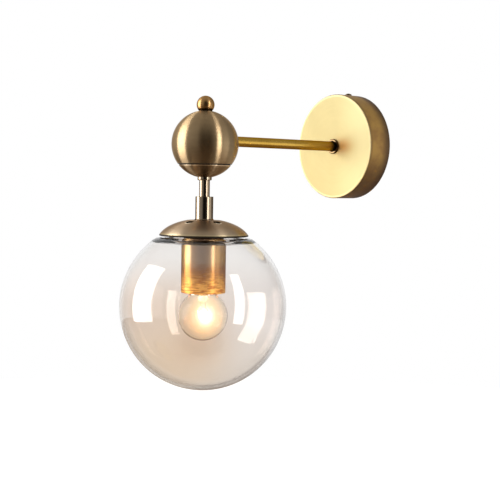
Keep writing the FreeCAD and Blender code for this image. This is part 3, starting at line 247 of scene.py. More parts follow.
def turned_metal(name, light, dark, rough, axis="Z", patina=0.35, aniso=0.7, over=None, metal=1.0,
                 edge=(0.58, 0.48, 0.40)):
    """Rings of fine brushing round the stem (axis Z) or the arm (axis Y), under clouds of patina.

    over is a function that paints marks on the colour, and metal may be one of the place along the axis.
    """
    net = new_material(name)
    p = net.vmath("SUBTRACT", net.place(), (0.0, STEM_Y if axis == "Z" else 0.0, 0.0))
    x, y, z = net.split(p)
    if axis == "Z":
        radius = net.vmath("LENGTH", net.join(x, y, 0.0))
        angle = net.math("ARCTAN2", y, x)
        along = z
        tangent = net.vmath("NORMALIZE", net.vmath("CROSS_PRODUCT", (0.0, 0.0, 1.0), p))
    else:
        radius = net.vmath("LENGTH", net.join(x, 0.0, z))
        angle = net.math("ARCTAN2", z, x)
        along = y
        tangent = net.vmath("NORMALIZE", net.vmath("CROSS_PRODUCT", (0.0, 1.0, 0.0), p))
    ring = net.join(net.times(net.math("COSINE", angle), RING_DRIFT),
                    net.times(net.math("SINE", angle), RING_DRIFT),
                    net.math("ADD", along, net.times(radius, RING_SLANT)))
    fine = net.noise(ring, HAIRLINES, 2.0, 0.6)
    band = net.noise(ring, RINGS, 3.0, 0.6)
    cloud = net.noise(net.place(), CLOUDS, 4.0, 0.55)
    clouds = net.times(net.ramp(cloud, 0.32, 0.68), patina)
    bands = net.times(net.ramp(band, 0.3, 0.7), 0.25)
    colour = net.mix(net.math("ADD", clouds, bands, clamp=True), light, dark)
    if over:
        colour = over(net, colour, radius, along, angle)
    roughness = net.math("ADD", net.times(net.ramp(fine, 0.3, 0.7), 0.07), net.times(cloud, 0.05))
    roughness = net.math("ADD", rough - 0.05, roughness)
    if callable(metal):
        metal = metal(net, along)
        roughness = net.math("ADD", roughness, net.times(net.math("SUBTRACT", 1.0, metal), 0.45))
    height = net.math("ADD", net.times(fine, 0.35), band)
    shader = net.principled(Base_Color=colour, Metallic=metal, Roughness=roughness, Anisotropic=aniso,
                            Anisotropic_Rotation=0.25, Tangent=tangent, Specular_Tint=edge,
                            Normal=net.bump(height, BRUSH_DEPTH * rough))
    shader.distribution = "GGX"
    return net.owner


# Marks painted on the metal's colour: dark seam lines, and painted light and shade. A pair says where a mark
# begins and where it is full, as a place along the axis or as a radius.

FINIAL_FOOT = (0.0285, 0.0272)
SHELL_LINE = (-0.0208, -0.0212)
CAP_LINE = (-0.02235, -0.02225)
# Painted highlight on the lip below the cap's groove
CAP_LIP_HIGHLIGHT = (-0.0234, -0.0228)
# Painted shadow line and painted highlight round the dome's hem
HEM_SHADOW = (-0.0840, -0.0842)
HEM_HIGHLIGHT = (-0.0828, -0.0833)
# Cup: painted shade at the top, a darker band, painted glow at the mouth, and a painted reflection
CUP_TOP_SHADE = (-0.0945, -0.0930)
CUP_DARK_BAND = (-0.106, -0.117)
CUP_PAINTED_GLOW = (-0.113, -0.134)
CUP_MATT = (-0.135, -0.112)
CUP_REFLECTION_AZIMUTH = TO_CAMERA - 6  # azimuth
# Painted shade where the arm enters its collar
ARM_END_SHADE = (-0.0365, -0.0295)
# Canopy: a painted highlight on the lip and painted shade on the rounding
CANOPY_CORNER = (-0.0256, -0.0250)
CANOPY_LIP_HIGHLIGHT = (0.0482, 0.0492)
CANOPY_ROUNDING_SHADE = (0.0502, 0.0508)
# Dome: lower wall painted lighter, painted shade in its hollow and in the vents, with a painted highlight at
# each vent
DOME_LOWER_LIGHT = (-0.0760, -0.0830)
DOME_HOLLOW = (0.0407, 0.0196, -0.0906, -0.0723)  # radius, height, foot and flat ceiling
HOLLOW_SKIN = (0.0007, 0.0004)  # height above the hollow that still counts as its inside
HOLLOW_SHADE = (0.034, 0.026)
VENTS, VENT_RING, VENTS_TURNED = 5, 0.0208, math.radians(3.7)
VENT_SHADE, VENT_HIGHLIGHT, HIGHLIGHT_SIDE = (0.0040, 0.0035), (0.0043, 0.0039), (0.0012, 0.0024)
# Colours of the dark seam lines and of the dome's painted shade
SEAM_DARK = (0.020, 0.012, 0.007)
DOME_SHADE = (0.020, 0.013, 0.008)


def finial_foot(net, colour, radius, along, angle):
    """Darker band at the finial's foot."""
    return net.mix(net.ramp(along, *FINIAL_FOOT), colour, (0.035, 0.020, 0.010))


def shell_edge(net, colour, radius, along, angle):
    """Dark line where the upper half meets the seam."""
    return net.mix(net.ramp(along, *SHELL_LINE), colour, SEAM_DARK)


def cap_groove_and_highlight(net, colour, radius, along, angle):
    """Painted highlight along the lip round the lower half, under a dark groove."""
    colour = net.mix(net.ramp(along, *CAP_LIP_HIGHLIGHT), colour, (0.90, 0.70, 0.46))
    return net.mix(net.ramp(along, *CAP_LINE), colour, SEAM_DARK)


def cup_painted_glow(net, colour, radius, along, angle):
    """Painted glow of the bulb's light, rippled, at the cup's mouth, a darker band above it, a greyer painted
    reflection higher up on the side towards the camera, and painted shade at the top.
    """
    wave = net.noise(net.join(net.times(angle, 0.012), 0.0, along), 260.0, 3.0, 0.6)
    wave = net.math("SUBTRACT", wave, 0.5)
    dark_band = net.ramp(net.math("ADD", along, net.times(wave, 0.012)), *CUP_DARK_BAND)
    # Painted glow: the bulb's light on the cup's mouth, in orange
    painted_glow_mask = net.ramp(net.math("ADD", along, net.times(wave, 0.02)), *CUP_PAINTED_GLOW)
    ripple = net.noise(net.join(net.times(angle, 0.003), 0.0, along), 700.0, 2.0, 0.5)
    glow = net.mix(net.ramp(ripple, 0.42, 0.60), (1.0, 0.56, 0.13), (0.54, 0.195, 0.034))
    # Painted reflection: a greyer patch on the side towards the camera
    painted_reflection = net.bell(net.from_centre(angle, math.radians(CUP_REFLECTION_AZIMUTH), 0.55))
    upper = net.mix(0.75, colour, net.mix(painted_reflection, (0.57, 0.340, 0.115), (0.54, 0.410, 0.315)))
    colour = net.mix(dark_band, upper, (0.40, 0.175, 0.050))
    colour = net.mix(painted_glow_mask, colour, glow)
    # Painted shade at the top of the cup, under the gallery
    return net.mix(net.ramp(along, *CUP_TOP_SHADE), colour, (0.035, 0.020, 0.012))


def canopy_painted_light(net, colour, radius, along, angle):
    """Painted shade: a darker, patchy side, darker still behind the corner, towards the wall and on the lower
    half. Painted light: a face lighter towards the right, a painted highlight on its lip, and a warm patch
    beside the collar as a painted reflection of the arm; painted shade on the rounding.
    """
    x, y, z = net.split(net.place())
    patch = net.ramp(net.noise(net.place(), 60.0, 3.0, 0.6), 0.35, 0.65)
    side_shade = net.mix(patch, (0.345, 0.195, 0.042), (0.25, 0.130, 0.030))
    # Painted shade behind the corner, towards the wall and on the lower half
    corner_shade = net.ramp(along, -0.0225, -0.0240, 0.0, 0.6)
    wall_shade = net.ramp(along, -0.0130, -0.0005, 0.0, 0.9)
    lower_shade = net.ramp(z, 0.000, -0.040, 0.0, 0.75)
    side_shade = net.mix(corner_shade, side_shade, (0.19, 0.105, 0.025))
    side_shade = net.mix(wall_shade, side_shade, (0.055, 0.026, 0.008))
    side_shade = net.mix(lower_shade, side_shade, (0.055, 0.022, 0.006))
    # Painted reflection of the arm: a warm patch beside the collar
    arm_reflection = net.times(net.bell(net.from_centre(x, 0.012, 0.013), net.math("DIVIDE", z, 0.0075)), 0.85)
    # Painted light: the face lighter towards the right
    face = net.mix(net.ramp(x, -0.005, 0.045, 0.0, 0.55), colour, (0.79, 0.69, 0.355))
    face = net.mix(arm_reflection, face, (0.52, 0.235, 0.045))
    # Painted highlight on the lip, and painted shade on the rounding
    face = net.mix(net.ramp(radius, *CANOPY_LIP_HIGHLIGHT), face, (0.80, 0.64, 0.32))
    face = net.mix(net.ramp(radius, *CANOPY_ROUNDING_SHADE), face, (0.22, 0.18, 0.085))
    return net.mix(net.ramp(along, *CANOPY_CORNER), face, side_shade)


def arm_end_shade(net, colour, radius, along, angle):
    """Painted shade where the arm enters its collar."""
    return net.mix(net.ramp(along, *ARM_END_SHADE), colour, (0.075, 0.058, 0.018))


def dome_painted_light(net, colour, radius, along, angle):
    """Painted highlight round the hem over a painted shadow line, painted shade inside the dome and in the vents
    with a painted highlight at each, and the lower wall painted lighter.
    """
    wide, tall, foot, ceiling = DOME_HOLLOW
    share = net.math("POWER", net.math("DIVIDE", radius, wide), 2.0)
    hollow = net.math("SQRT", net.math("SUBTRACT", 1.0, share, clamp=True))
    hollow = net.math("MINIMUM", net.math("MULTIPLY_ADD", hollow, tall, foot), ceiling)
    skin = net.math("SUBTRACT", along, hollow)
    # Painted shade inside the dome
    inside = net.times(net.ramp(skin, *HOLLOW_SKIN), net.ramp(radius, *HOLLOW_SHADE))
    colour = net.mix(inside, colour, DOME_SHADE)
    # Painted light: the lower wall lighter, and a painted highlight round the hem
    colour = net.mix(net.ramp(along, *DOME_LOWER_LIGHT, 0.0, 0.45), colour, (0.56, 0.44, 0.30))
    colour = net.mix(net.ramp(along, *HEM_HIGHLIGHT), colour, (0.62, 0.50, 0.30))
    step = 2 * math.pi / VENTS
    off = net.math("FRACT", net.math("MULTIPLY_ADD", angle, 1 / step, 0.5 + VENTS_TURNED / step))
    off = net.times(net.math("SUBTRACT", off, 0.5), step)
    out = net.math("SUBTRACT", net.times(radius, net.math("COSINE", off)), VENT_RING)
    far = net.vmath("LENGTH", net.join(out, net.times(radius, net.math("SINE", off)), 0.0))
    # Painted shade in the vents, and a painted highlight at each
    colour = net.mix(net.ramp(far, *VENT_SHADE), colour, (0.030, 0.020, 0.012))
    vent_highlight = net.times(net.ramp(far, *VENT_HIGHLIGHT), net.ramp(out, *HIGHLIGHT_SIDE))
    colour = net.mix(vent_highlight, colour, (0.85, 0.74, 0.56))
    # Painted shadow line under the hem
    return net.mix(net.ramp(along, *HEM_SHADOW), colour, DOME_SHADE)


def dull_line(line):
    """Bare metal but for a dark line, which doesn't shine."""
    return lambda net, along: net.ramp(along, line[1], line[0])


def cup_sheen(net, along):
    """Bare brass above, and duller and less like metal towards the mouth."""
    return net.ramp(along, *CUP_MATT, 0.65, 0.95)


dress(turned_metal("finial_bronze", (0.42, 0.240, 0.095), (0.28, 0.150, 0.055), 0.32, over=finial_foot),
      "finial")
dress(turned_metal("stem_brass", (0.345, 0.268, 0.188), (0.25, 0.186, 0.122), 0.14, aniso=0.5,
                   edge=(0.08, 0.055, 0.035)), "stem_collar", "stem_tube", "stem_sleeve")
dress(turned_metal("ball_bronze", (0.410, 0.292, 0.162), (0.310, 0.206, 0.110), 0.335, aniso=1.0,
                   over=shell_edge, metal=dull_line(SHELL_LINE), edge=(0.75, 0.65, 0.55)), "ball_shell")
dress(turned_metal("cap_bronze", (0.34, 0.232, 0.130), (0.25, 0.162, 0.088), 0.335, aniso=1.0, over=cap_groove_and_highlight,
                   metal=dull_line(CAP_LINE)), "ball_cap")
dress(turned_metal("dome_bronze", (0.41, 0.300, 0.200), (0.32, 0.225, 0.148), 0.36, aniso=0.85, over=dome_painted_light,
                   metal=dull_line(HEM_SHADOW)), "dome_cap")
dress(turned_metal("cup_brass", (0.46, 0.255, 0.100), (0.34, 0.195, 0.095), 0.34, aniso=0.8, over=cup_painted_glow,
                   metal=cup_sheen, edge=(0.30, 0.20, 0.14)), "socket_cup")
dress(turned_metal("canopy_brass", (0.52, 0.425, 0.190), (0.46, 0.370, 0.160), 0.60, axis="Y", aniso=0.1,
                   over=canopy_painted_light, metal=0.45, edge=(1.0, 1.0, 1.0)), "canopy")
dress(turned_metal("arm_brass", (0.54, 0.335, 0.068), (0.42, 0.245, 0.038), 0.25, axis="Y", aniso=0.3,
                   over=arm_end_shade, edge=(0.34, 0.22, 0.09)), "arm_tube")
dress(turned_metal("ring_brass", (0.16, 0.105, 0.05), (0.08, 0.05, 0.025), 0.12, axis="Y"), "arm_collar")
dress(turned_metal("screw_brass", (0.12, 0.085, 0.048), (0.07, 0.048, 0.028), 0.3), "canopy_screw")
dress(turned_metal("turned_brass", (0.62, 0.47, 0.22), (0.50, 0.36, 0.15), 0.2),
      "junction_block", "stud_spacer", "finial_stud", "stem_nipple", "dome_spacer")
# Painted shade: the gallery inside the dome is dark brass
dress(turned_metal("gallery_brass", (0.20, 0.145, 0.075), (0.11, 0.075, 0.04), 0.28), "gallery")
dress(turned_metal("contact_brass", (0.68, 0.52, 0.25), (0.52, 0.38, 0.17), 0.25),
      "holder_terminals", "screw_shell", "centre_contact")
dress(turned_metal("zinc_steel", (0.62, 0.63, 0.64), (0.48, 0.49, 0.50), 0.28, patina=0.5),
      "wall_bracket", "canopy_peg", "earth_screw", "earth_lug", "block_screw", "pole_screws", "arm_washer",
      "arm_nut", "lock_washer", "lock_nut", "holder_bridge", "holder_screws")
dress(turned_metal("nickel", *NICKEL), "bulb_cap", "bulb_leads")
dress(turned_metal("solder", (0.50, 0.50, 0.51), (0.36, 0.36, 0.37), 0.4, patina=0.8), "bulb_tip")


# Plastics, ceramic, rubber and wire covering

def matt(name, light, dark, rough, coat=0.0):
    """Moulded or fired surface with a fine grain and faint clouds."""
    net = new_material(name)
    grain = net.noise(net.place(), 700.0, 3.0, 0.6)
    cloud = net.noise(net.place(), 35.0, 3.0, 0.5)
    net.principled(Base_Color=net.mix(net.ramp(cloud, 0.3, 0.7), light, dark),
                   Roughness=net.math("ADD", rough, net.times(grain, 0.1)),
                   Coat_Weight=coat, Normal=net.bump(grain, 0.00002))
    return net.owner


def striped_wire(name, ground, stripe):
    """Covering in two colours, in slanting stripes."""
    net = new_material(name)
    x, y, z = net.split(net.place())
    wave = net.math("SINE", net.math("ADD", net.times(z, 900.0), net.times(x, 2600.0)))
    grain = net.noise(net.place(), 900.0, 3.0, 0.6)
    net.principled(Base_Color=net.mix(net.ramp(wave, 0.25, 0.45), ground, stripe),
                   Roughness=net.math("ADD", 0.32, net.times(grain, 0.1)), Normal=net.bump(grain, 0.00001))
    return net.owner


dress(matt("block_nylon", (0.86, 0.85, 0.80), (0.80, 0.78, 0.73), 0.45), "terminal_block", "arm_bush")
dress(matt("brown_insulation", (0.26, 0.13, 0.06), (0.20, 0.10, 0.045), 0.35), "live_wire")
dress(matt("blue_insulation", (0.06, 0.17, 0.45), (0.045, 0.13, 0.38), 0.35), "neutral_wire")
dress(matt("porcelain", (0.90, 0.89, 0.85), (0.86, 0.85, 0.80), 0.25, coat=0.6), "holder_core")
dress(matt("silicone", (0.70, 0.68, 0.63), (0.63, 0.60, 0.56), 0.5), "neck_seal")
dress(matt("insulator_glass", (0.02, 0.02, 0.025), (0.035, 0.03, 0.03), 0.1, coat=0.5), "bulb_insulator")
dress(striped_wire("earth_insulation", (0.62, 0.60, 0.06), (0.08, 0.35, 0.08)), "earth_wire")


# Glass

LAMPS_PASS = 0.92  # share of the lamps' light that a wall lets through, besides its tint
GLOBE_SHOULDER, GLOBE_MIDDLE, GLOBE_FOOT = -0.095, -0.150, -0.195  # heights where the tint changes
GREYER = (0.639, 0.769)  # direction across the globe, in x and y, in which its tint turns grey


def glass(name, tint, deep, ior, over=None, coat=0.0):
    """Blown glass with faint waves. Lamps shine straight through it, so that it throws no black shadow."""
    net = new_material(name)
    cloud = net.noise(net.place(), 22.0, 2.0, 0.5)
    colour = net.mix(net.ramp(cloud, 0.25, 0.75), tint, deep)
    if over:
        colour = over(net, colour, cloud)
    shader = net.principled(Base_Color=colour, Roughness=0.004, IOR=ior, Transmission_Weight=1.0,
                            Coat_Weight=coat, Normal=net.bump(cloud, 0.00002))
    clear = net.node("BsdfTransparent")
    net.put(tuple(LAMPS_PASS * c for c in tint), clear.inputs["Color"])
    net.surface(net.choose(net.light_path()["Is Shadow Ray"], shader.outputs[0], clear.outputs[0]))
    return net.owner


def tint_and_painted_edges(net, colour, cloud):
    """Amber tint, clear at the shoulder and greyer on the right, with painted light and shade along its lower
    edge and a darker painted patch low in the middle.
    """
    x, y, z = net.split(net.place())
    height = net.math("ADD", z, net.times(cloud, 0.006))
    along_x, along_y = GREYER
    across = net.math("ADD", net.times(x, along_x), net.math("MULTIPLY_ADD", y, along_y, -along_y * STEM_Y))
    turned = net.ramp(across, -0.030, 0.050)
    upper = net.mix(turned, (0.880, 0.790, 0.715), (0.905, 0.862, 0.835))
    lower = net.mix(turned, (0.905, 0.805, 0.695), (0.890, 0.850, 0.810))
    colour = net.mix(net.ramp(height, GLOBE_SHOULDER, GLOBE_MIDDLE), colour, upper)
    colour = net.mix(net.ramp(height, GLOBE_MIDDLE, GLOBE_FOOT), colour, lower)
    # Painted shade: a darker patch low in the middle
    amber = net.bell(net.from_centre(across, -0.004, 0.024), net.from_centre(z, -0.180, 0.018))
    colour = net.mix(amber, colour, (0.835, 0.71, 0.60))
    # Painted light and shade along the lower edge, by how squarely it faces the view: a paler band, a faint dark
    # line on the left, and a dark grey edge on the right
    facing = net.node("LayerWeight").outputs["Facing"]
    low = net.ramp(z, -0.120, -0.190)
    right = net.ramp(across, -0.022, 0.004)
    pale = net.times(net.ramp(facing, 0.50, 0.70), low, net.less(0.8, turned))
    colour = net.mix(pale, colour, (0.99, 0.97, 0.95))
    line = net.times(net.ramp(facing, 0.60, 0.70), net.ramp(facing, 0.82, 0.76), net.less(0.5, right), low)
    colour = net.mix(line, colour, (0.50, 0.40, 0.29))
    painted_rim_shade = net.times(net.ramp(facing, 0.70, 0.82), low, right)
    return net.mix(painted_rim_shade, colour, (0.27, 0.27, 0.28))


dress(glass("amber_glass", (0.97, 0.96, 0.95), (0.96, 0.945, 0.93), 1.5, over=tint_and_painted_edges), "globe")
dress(glass("clear_glass", (0.985, 0.96, 0.91), (0.98, 0.95, 0.89), 1.06, coat=0.15),
      "bulb_glass", "bulb_mount")


# The bulb's coiled filament

COIL_TURNS, COIL_STEPS, COIL_SIDES = 26, 14, 8
COIL_RADIUS, COIL_WIRE = 0.00038, 0.00012
BOW_SAG, BOW_ENDS, BOW_LIFT = 0.004, 0.0003, 0.00055


def angles(sides):
    return [2 * math.pi * n / sides for n in range(sides)]


def neighbours(sides):
    return [(n, (n + 1) % sides) for n in range(sides)]


def hoop(first, second, sides):
    """Quads between two rings of points, given by the number of each ring's first point."""
    return [(first + n, first + m, second + m, second + n) for n, m in neighbours(sides)]


def tube_mesh(name, path, radius, sides):
    """Round wire along a list of points."""
    verts, faces = [], []
    normal = None
    for k, point in enumerate(path):
        along = (path[min(k + 1, len(path) - 1)] - path[max(k - 1, 0)]).normalized()
        if normal is None:
            normal = along.orthogonal().normalized()
        normal = (normal - along * normal.dot(along)).normalized()
        other = along.cross(normal)
        verts += [point + (normal * math.cos(turn) + other * math.sin(turn)) * radius for turn in angles(sides)]
    for k in range(len(path) - 1):
        faces += hoop(k * sides, (k + 1) * sides, sides)
    faces.append(tuple(reversed(range(sides))))
    faces.append(tuple(range((len(path) - 1) * sides, len(path) * sides)))
    return new_piece(name, verts, faces, [True] * len(faces))


def coil_path():
    """Fine coil along the filament's bow between its two leads."""
    low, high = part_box("bulb_filament")
    half = (high[0] - low[0]) / 2 - BOW_ENDS
    top = low[2] + BOW_SAG + BOW_LIFT
    bow = (half ** 2 + BOW_SAG ** 2) / (2 * BOW_SAG)
    sweep = math.asin(half / bow)
    points = []
    for k in range(COIL_TURNS * COIL_STEPS + 1):
        share = k / (COIL_TURNS * COIL_STEPS)
        a = -sweep + 2 * sweep * share
        heart = Vector((bow * math.sin(a), STEM_Y, top - BOW_SAG + bow - bow * math.cos(a)))
        out = Vector((math.sin(a), 0, -math.cos(a)))
        wind = 2 * math.pi * COIL_TURNS * share
        points.append(heart + (out * math.cos(wind) + Vector((0, 1, 0)) * math.sin(wind)) * COIL_RADIUS)
    return points


def hot_metal(name, colour, strength):
    """Filament that glows by itself."""
    net = new_material(name)
    grain = net.noise(net.place(), 1500.0, 2.0, 0.5)
    net.principled(Base_Color=net.mix(grain, (0.9, 0.7, 0.45), (0.95, 0.85, 0.65)), Roughness=0.5, Metallic=1.0,
                   Emission_Color=colour, Emission_Strength=strength)
    return net.owner


coil = tube_mesh("filament_coil", coil_path(), COIL_WIRE, COIL_SIDES)
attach(coil, "bulb")
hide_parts("bulb_filament")
dress(hot_metal("filament", (1.0, 0.78, 0.45), 90.0), coil)


# The bulb's cap with its rolled thread, which shows when the bulb is out of its lampholder

CAP_SIDES, CAP_ROWS = 72, 64
THREAD_PITCH, THREAD_DEPTH, THREAD_FADE = 0.00363, 0.0008, 0.002
THREAD_FOOT, THREAD_HEAD = 0.0012, 0.0008  # smooth skirt left below and above the thread
CAP_BEND, CAP_WALL, CAP_MOUTH = 0.0012, 0.00035, 0.0116


def threaded_cap(name):
    """Thin-walled cap. Its profile runs up the outside, in to the crimped mouth and down the inside."""
    low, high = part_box("bulb_cap")
    foot, head = low[2], high[2]
    radius = (high[0] - low[0]) / 2
    shoulder = head - CAP_BEND
    rows = [foot + (shoulder - foot) * k / CAP_ROWS for k in range(CAP_ROWS + 1)]
    profile = [(radius, z) for z in rows]
    profile += [(radius - CAP_BEND + CAP_BEND * math.cos(a), shoulder + CAP_BEND * math.sin(a))
                for a in (0.39, 0.79, 1.18, 1.5708)]
    bend_end = len(profile) - 1
    profile += [(CAP_MOUTH, head), (CAP_MOUTH, head - CAP_WALL), (radius - CAP_BEND, head - CAP_WALL)]
    profile += [(radius - CAP_WALL, z) for z in reversed(rows)]
    verts, faces, smooth = [], [], []
    for r, z in profile:
        share = min(1.0, (z - foot - THREAD_FOOT) / THREAD_FADE, (shoulder - THREAD_HEAD - z) / THREAD_FADE)
        for turn in angles(CAP_SIDES):
            groove = max(0.0, share) * (0.5 - 0.5 * math.cos(2 * math.pi * z / THREAD_PITCH - turn))
            across = r - THREAD_DEPTH * groove
            verts.append(Vector((across * math.cos(turn), STEM_Y + across * math.sin(turn), z)))
    flat = (bend_end, bend_end + 1, bend_end + 2, len(profile) - 1)
    for k in range(len(profile)):
        faces += hoop(k * CAP_SIDES, (k + 1) % len(profile) * CAP_SIDES, CAP_SIDES)
        smooth += [k not in flat] * CAP_SIDES
    return new_piece(name, verts, faces, smooth)


cap = threaded_cap("bulb_cap_thread")
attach(cap, "bulb")
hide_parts("bulb_cap")
dress(turned_metal("rolled_nickel", *NICKEL), cap)


# Painted glow round the filament

GLOW_HEART = (0.0013, STEM_Y + 0.0016, -0.1580)
GLOW_BALL = Vector((0, STEM_Y, -0.1574))
GLOW_RADIUS, GLOW_RINGS, GLOW_SIDES = 0.0208, 24, 48
GLOW_CORE, GLOW_HALO, GLOW_EDGE = 0.0046, 0.0080, (0.0205, 0.0150)


def painted_glow_volume(name):
    """Painted glow round the hot filament, given off by the space that fills the bulb."""
    net = new_material(name)
    away = net.vmath("SUBTRACT", net.place(), GLOW_HEART)
    away = net.vmath("LENGTH", net.vmath("MULTIPLY", away, (1.0, 1.0, 0.85)))
    core = net.bell(net.math("DIVIDE", away, GLOW_CORE))
    halo = net.math("EXPONENT", net.times(net.math("DIVIDE", away, GLOW_HALO), -1.0))
    edge = net.ramp(away, *GLOW_EDGE)
    wisp = net.ramp(net.noise(net.place(), 160.0, 2.0, 0.5), 0.2, 0.8, 0.8, 1.2)
    strength = net.times(net.math("ADD", net.times(core, 330.0), net.times(halo, edge, 105.0)), wisp)
    colour = net.mix(net.ramp(away, 0.004, 0.015), (1.0, 0.97, 0.84), (1.0, 0.62, 0.20))
    net.link(net.shine("Emission", colour, strength), net.out.inputs["Volume"])
    return net.owner


def ball_mesh(name, centre, radius, rings, sides):
    """Round envelope made ring by ring."""
    verts = [centre + Vector((0, 0, radius))]
    for k in range(1, rings):
        fall = math.pi * k / rings
        wide, height = math.sin(fall), math.cos(fall)
        verts += [centre + Vector((wide * math.cos(turn), wide * math.sin(turn), height)) * radius
                  for turn in angles(sides)]
    verts.append(centre - Vector((0, 0, radius)))
    last = len(verts) - 1
    faces = []
    for n, m in neighbours(sides):
        faces.append((0, 1 + n, 1 + m))
        for a in range(1, last - sides, sides):
            faces.append((a + n, a + sides + n, a + sides + m, a + m))
        faces.append((last, last - sides + m, last - sides + n))
    return new_piece(name, verts, faces)


glow = ball_mesh("filament_glow", GLOW_BALL, GLOW_RADIUS, GLOW_RINGS, GLOW_SIDES)
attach(glow, "bulb")
dress(painted_glow_volume("filament_glow"), glow)


# Lamps

def unseen_through_glass(lamp):
    """The panel shows in reflections, and not straight through both walls of the globe."""
    net = Net(lamp, "OutputLight")
    path = net.light_path()
    through_both = net.math("GREATER_THAN", path["Transmission Depth"], 3.5)
    straight = net.math("LESS_THAN", path["Glossy Depth"], 0.5)
    strength = net.math("MULTIPLY_ADD", through_both, net.times(straight, -1.0), 1.0)
    net.surface(net.shine("Emission", (1.0, 1.0, 1.0), strength))


def softbox(name, azimuth, elevation, wide, tall, radiance, swing=0.0, tip=0.0, roll=0.0, distance=1.6):
    """Panel lamp that faces the globe, with its azimuth from the camera's.

    wide and tall are its sides for one metre away, and radiance is its brightness.
    """
    lamp = bpy.data.lights.new(name, "AREA")
    lamp.shape = "RECTANGLE"
    lamp.size = distance * wide
    lamp.size_y = distance * tall
    lamp.energy = radiance * math.pi * lamp.size * lamp.size_y
    unseen_through_glass(lamp)
    a, e = (math.radians(angle) for angle in (TO_CAMERA + azimuth, elevation))
    away = Vector((math.cos(e) * math.cos(a), math.cos(e) * math.sin(a), math.sin(e)))
    across = Vector((0, 0, 1)).cross(away).normalized()
    facing = Matrix((across, away.cross(across), away)).transposed()
    for angle, axis in ((swing, "Y"), (tip, "X"), (roll, "Z")):
        facing = facing @ Matrix.Rotation(math.radians(angle), 3, axis)
    thing = bpy.data.objects.new(name, lamp)
    thing.matrix_world = Matrix.Translation(Vector((0, STEM_Y, GLOBE_Z)) + away * distance) @ facing.to_4x4()
    scene.collection.objects.link(thing)


softbox("softbox_left", -92.8, 15.2, 0.705, 1.063, 6.5, swing=27.2, tip=10.9, roll=11.4, distance=1.9)
softbox("softbox_right", 54.4, 17.0, 0.254, 1.191, 6.0, swing=-13.1, tip=12.3, roll=-9.2)
softbox("softbox_far_right", 80.0, -10.0, 0.46, 0.89, 0.9)

bulb_lamp = bpy.data.lights.new("bulb_lamp", "POINT")
bulb_lamp.energy = 0.35
bulb_lamp.color = (1.0, 0.72, 0.40)
bulb_lamp.shadow_soft_size = 0.004
bulb_light = bpy.data.objects.new("bulb_lamp", bulb_lamp)
bulb_light.location = (0, STEM_Y, BULB_LAMP_Z)
scene.collection.objects.link(bulb_light)


# Surroundings

# Brightness of the walls in reflections, by azimuth from the camera's
WALLS = [(-180, 1.0), (-162, 0.90), (-148, 0.78), (-136, 0.90), (-120, 1.0), (-100, 0.95), (-70, 0.62),
         (-50, 0.56), (-26, 0.42), (-16, 0.12), (-8, 0.010), (22, 0.010), (34, 0.20), (64, 0.46), (118, 0.46),
         (130, 0.30), (144, 0.45), (162, 0.85), (180, 1.0)]
CEILING = (0.57, 0.94)  # upward part of a direction, from the walls' end to the even ceiling
FLOOR_RADIUS = 3.0


def walls(net, azimuth):
    """Colour ramp that runs once round the room."""
    made = net.node("ValToRGB")
    turn = net.math("MULTIPLY_ADD", azimuth, 1 / (2 * math.pi), 0.5 - TO_CAMERA / 360)
    net.link(net.math("FRACT", turn), made.inputs[0])
    made.color_ramp.interpolation = "EASE"
    stops = made.color_ramp.elements
    while len(stops) > 1:
        stops.remove(stops[0])
    for k, (angle, value) in enumerate(WALLS):
        place = 0.5 + angle / 360
        stop = stops.new(place) if k else stops[0]
        stop.position = place
        stop.color = (value, value, value, 1)
    return made.outputs[0]


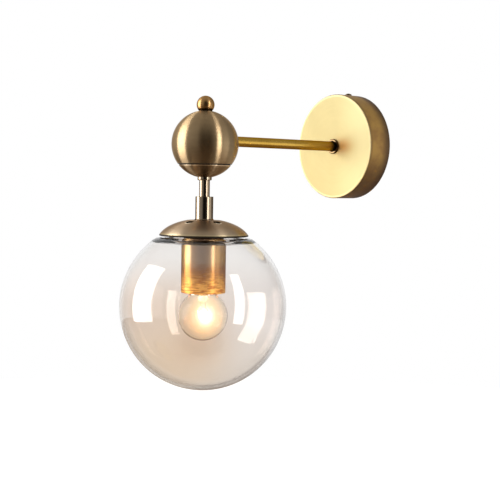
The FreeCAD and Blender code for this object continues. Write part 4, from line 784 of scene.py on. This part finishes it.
def studio():
    """White where it is seen, even grey for light, and a room with dark and light walls in reflections."""
    world = bpy.data.worlds.new("studio")
    net = Net(world, "OutputWorld")
    x, y, z = net.split(net.node("TexCoord").outputs["Generated"])
    path = net.light_path()
    in_glass = net.math("GREATER_THAN", path["Transmission Depth"], 2.5)
    mirrored = net.math("GREATER_THAN", path["Glossy Depth"], 0.5)
    twice = net.math("GREATER_THAN", path["Glossy Depth"], 1.5)
    room = net.mix(net.ramp(z, *CEILING), walls(net, net.math("ARCTAN2", y, x)), (0.62, 0.60, 0.57))
    haze = net.math("MAXIMUM", net.times(in_glass, 0.5), net.times(in_glass, twice))
    room = net.mix(haze, room, (0.62, 0.60, 0.60))
    straight = net.math("MAXIMUM", net.math("SUBTRACT", 1.0, mirrored), net.math("SUBTRACT", 1.0, in_glass))
    seen = net.math("MAXIMUM", path["Is Camera Ray"], net.times(path["Is Transmission Ray"], straight))
    even, white = net.shine("Background", (0.42, 0.42, 0.42)), net.shine("Background", (1.0, 1.0, 1.0))
    light = net.choose(mirrored, even, net.shine("Background", room))
    net.surface(net.choose(seen, light, white))
    return world


def floor_paper():
    """Pale paper. In glass it shows nearly white and in metal in browns, both as painted light, with painted
    shadow towards the lamp.
    """
    net = new_material("floor_paper")
    path = net.light_path()
    speck = net.noise(net.place(), 60.0, 3.0, 0.6)
    paper = net.principled(Base_Color=net.mix(speck, (0.80, 0.74, 0.66), (0.78, 0.72, 0.64)), Roughness=0.9,
                           Emission_Color=(1.0, 1.0, 1.0),
                           Emission_Strength=net.times(path["Is Camera Ray"], 0.7))
    # Painted light and shadow: how the floor looks in glass and in metal, darker towards the lamp
    reach = net.vmath("LENGTH", net.place())
    in_glass = net.shine("Emission", net.mix(net.ramp(reach, 0.4, 1.8), (0.84, 0.82, 0.80), (1.0, 1.0, 1.0)))
    back = net.split(net.place())[1]
    painted_floor_shadow = net.mix(net.ramp(back, 0.1, 0.7), (0.16, 0.115, 0.08), (0.34, 0.235, 0.15))
    in_metal = net.shine("Emission", net.mix(net.ramp(back, 0.8, 1.6), painted_floor_shadow, (0.85, 0.84, 0.82)))
    mirrored = net.math("GREATER_THAN", path["Glossy Depth"], 0.5)
    deep = net.math("GREATER_THAN", path["Transmission Depth"], 2.5)
    straight = net.math("SUBTRACT", 1.0, net.times(mirrored, deep))
    direct = net.choose(mirrored, paper.outputs[0], in_metal)
    net.surface(net.choose(net.times(path["Is Transmission Ray"], straight), direct, in_glass))
    return net.owner


def disc(name, radius):
    mesh = bpy.data.meshes.new(name)
    grid = bmesh.new()
    bmesh.ops.create_circle(grid, cap_ends=True, segments=96, radius=radius)
    grid.to_mesh(mesh)
    grid.free()
    made = bpy.data.objects.new(name, mesh)
    scene.collection.objects.link(made)
    return made


scene.world = studio()
floor = disc("floor", FLOOR_RADIUS)
floor.location = (0, STEM_Y, FLOOR_Z)
dress(floor_paper(), floor)
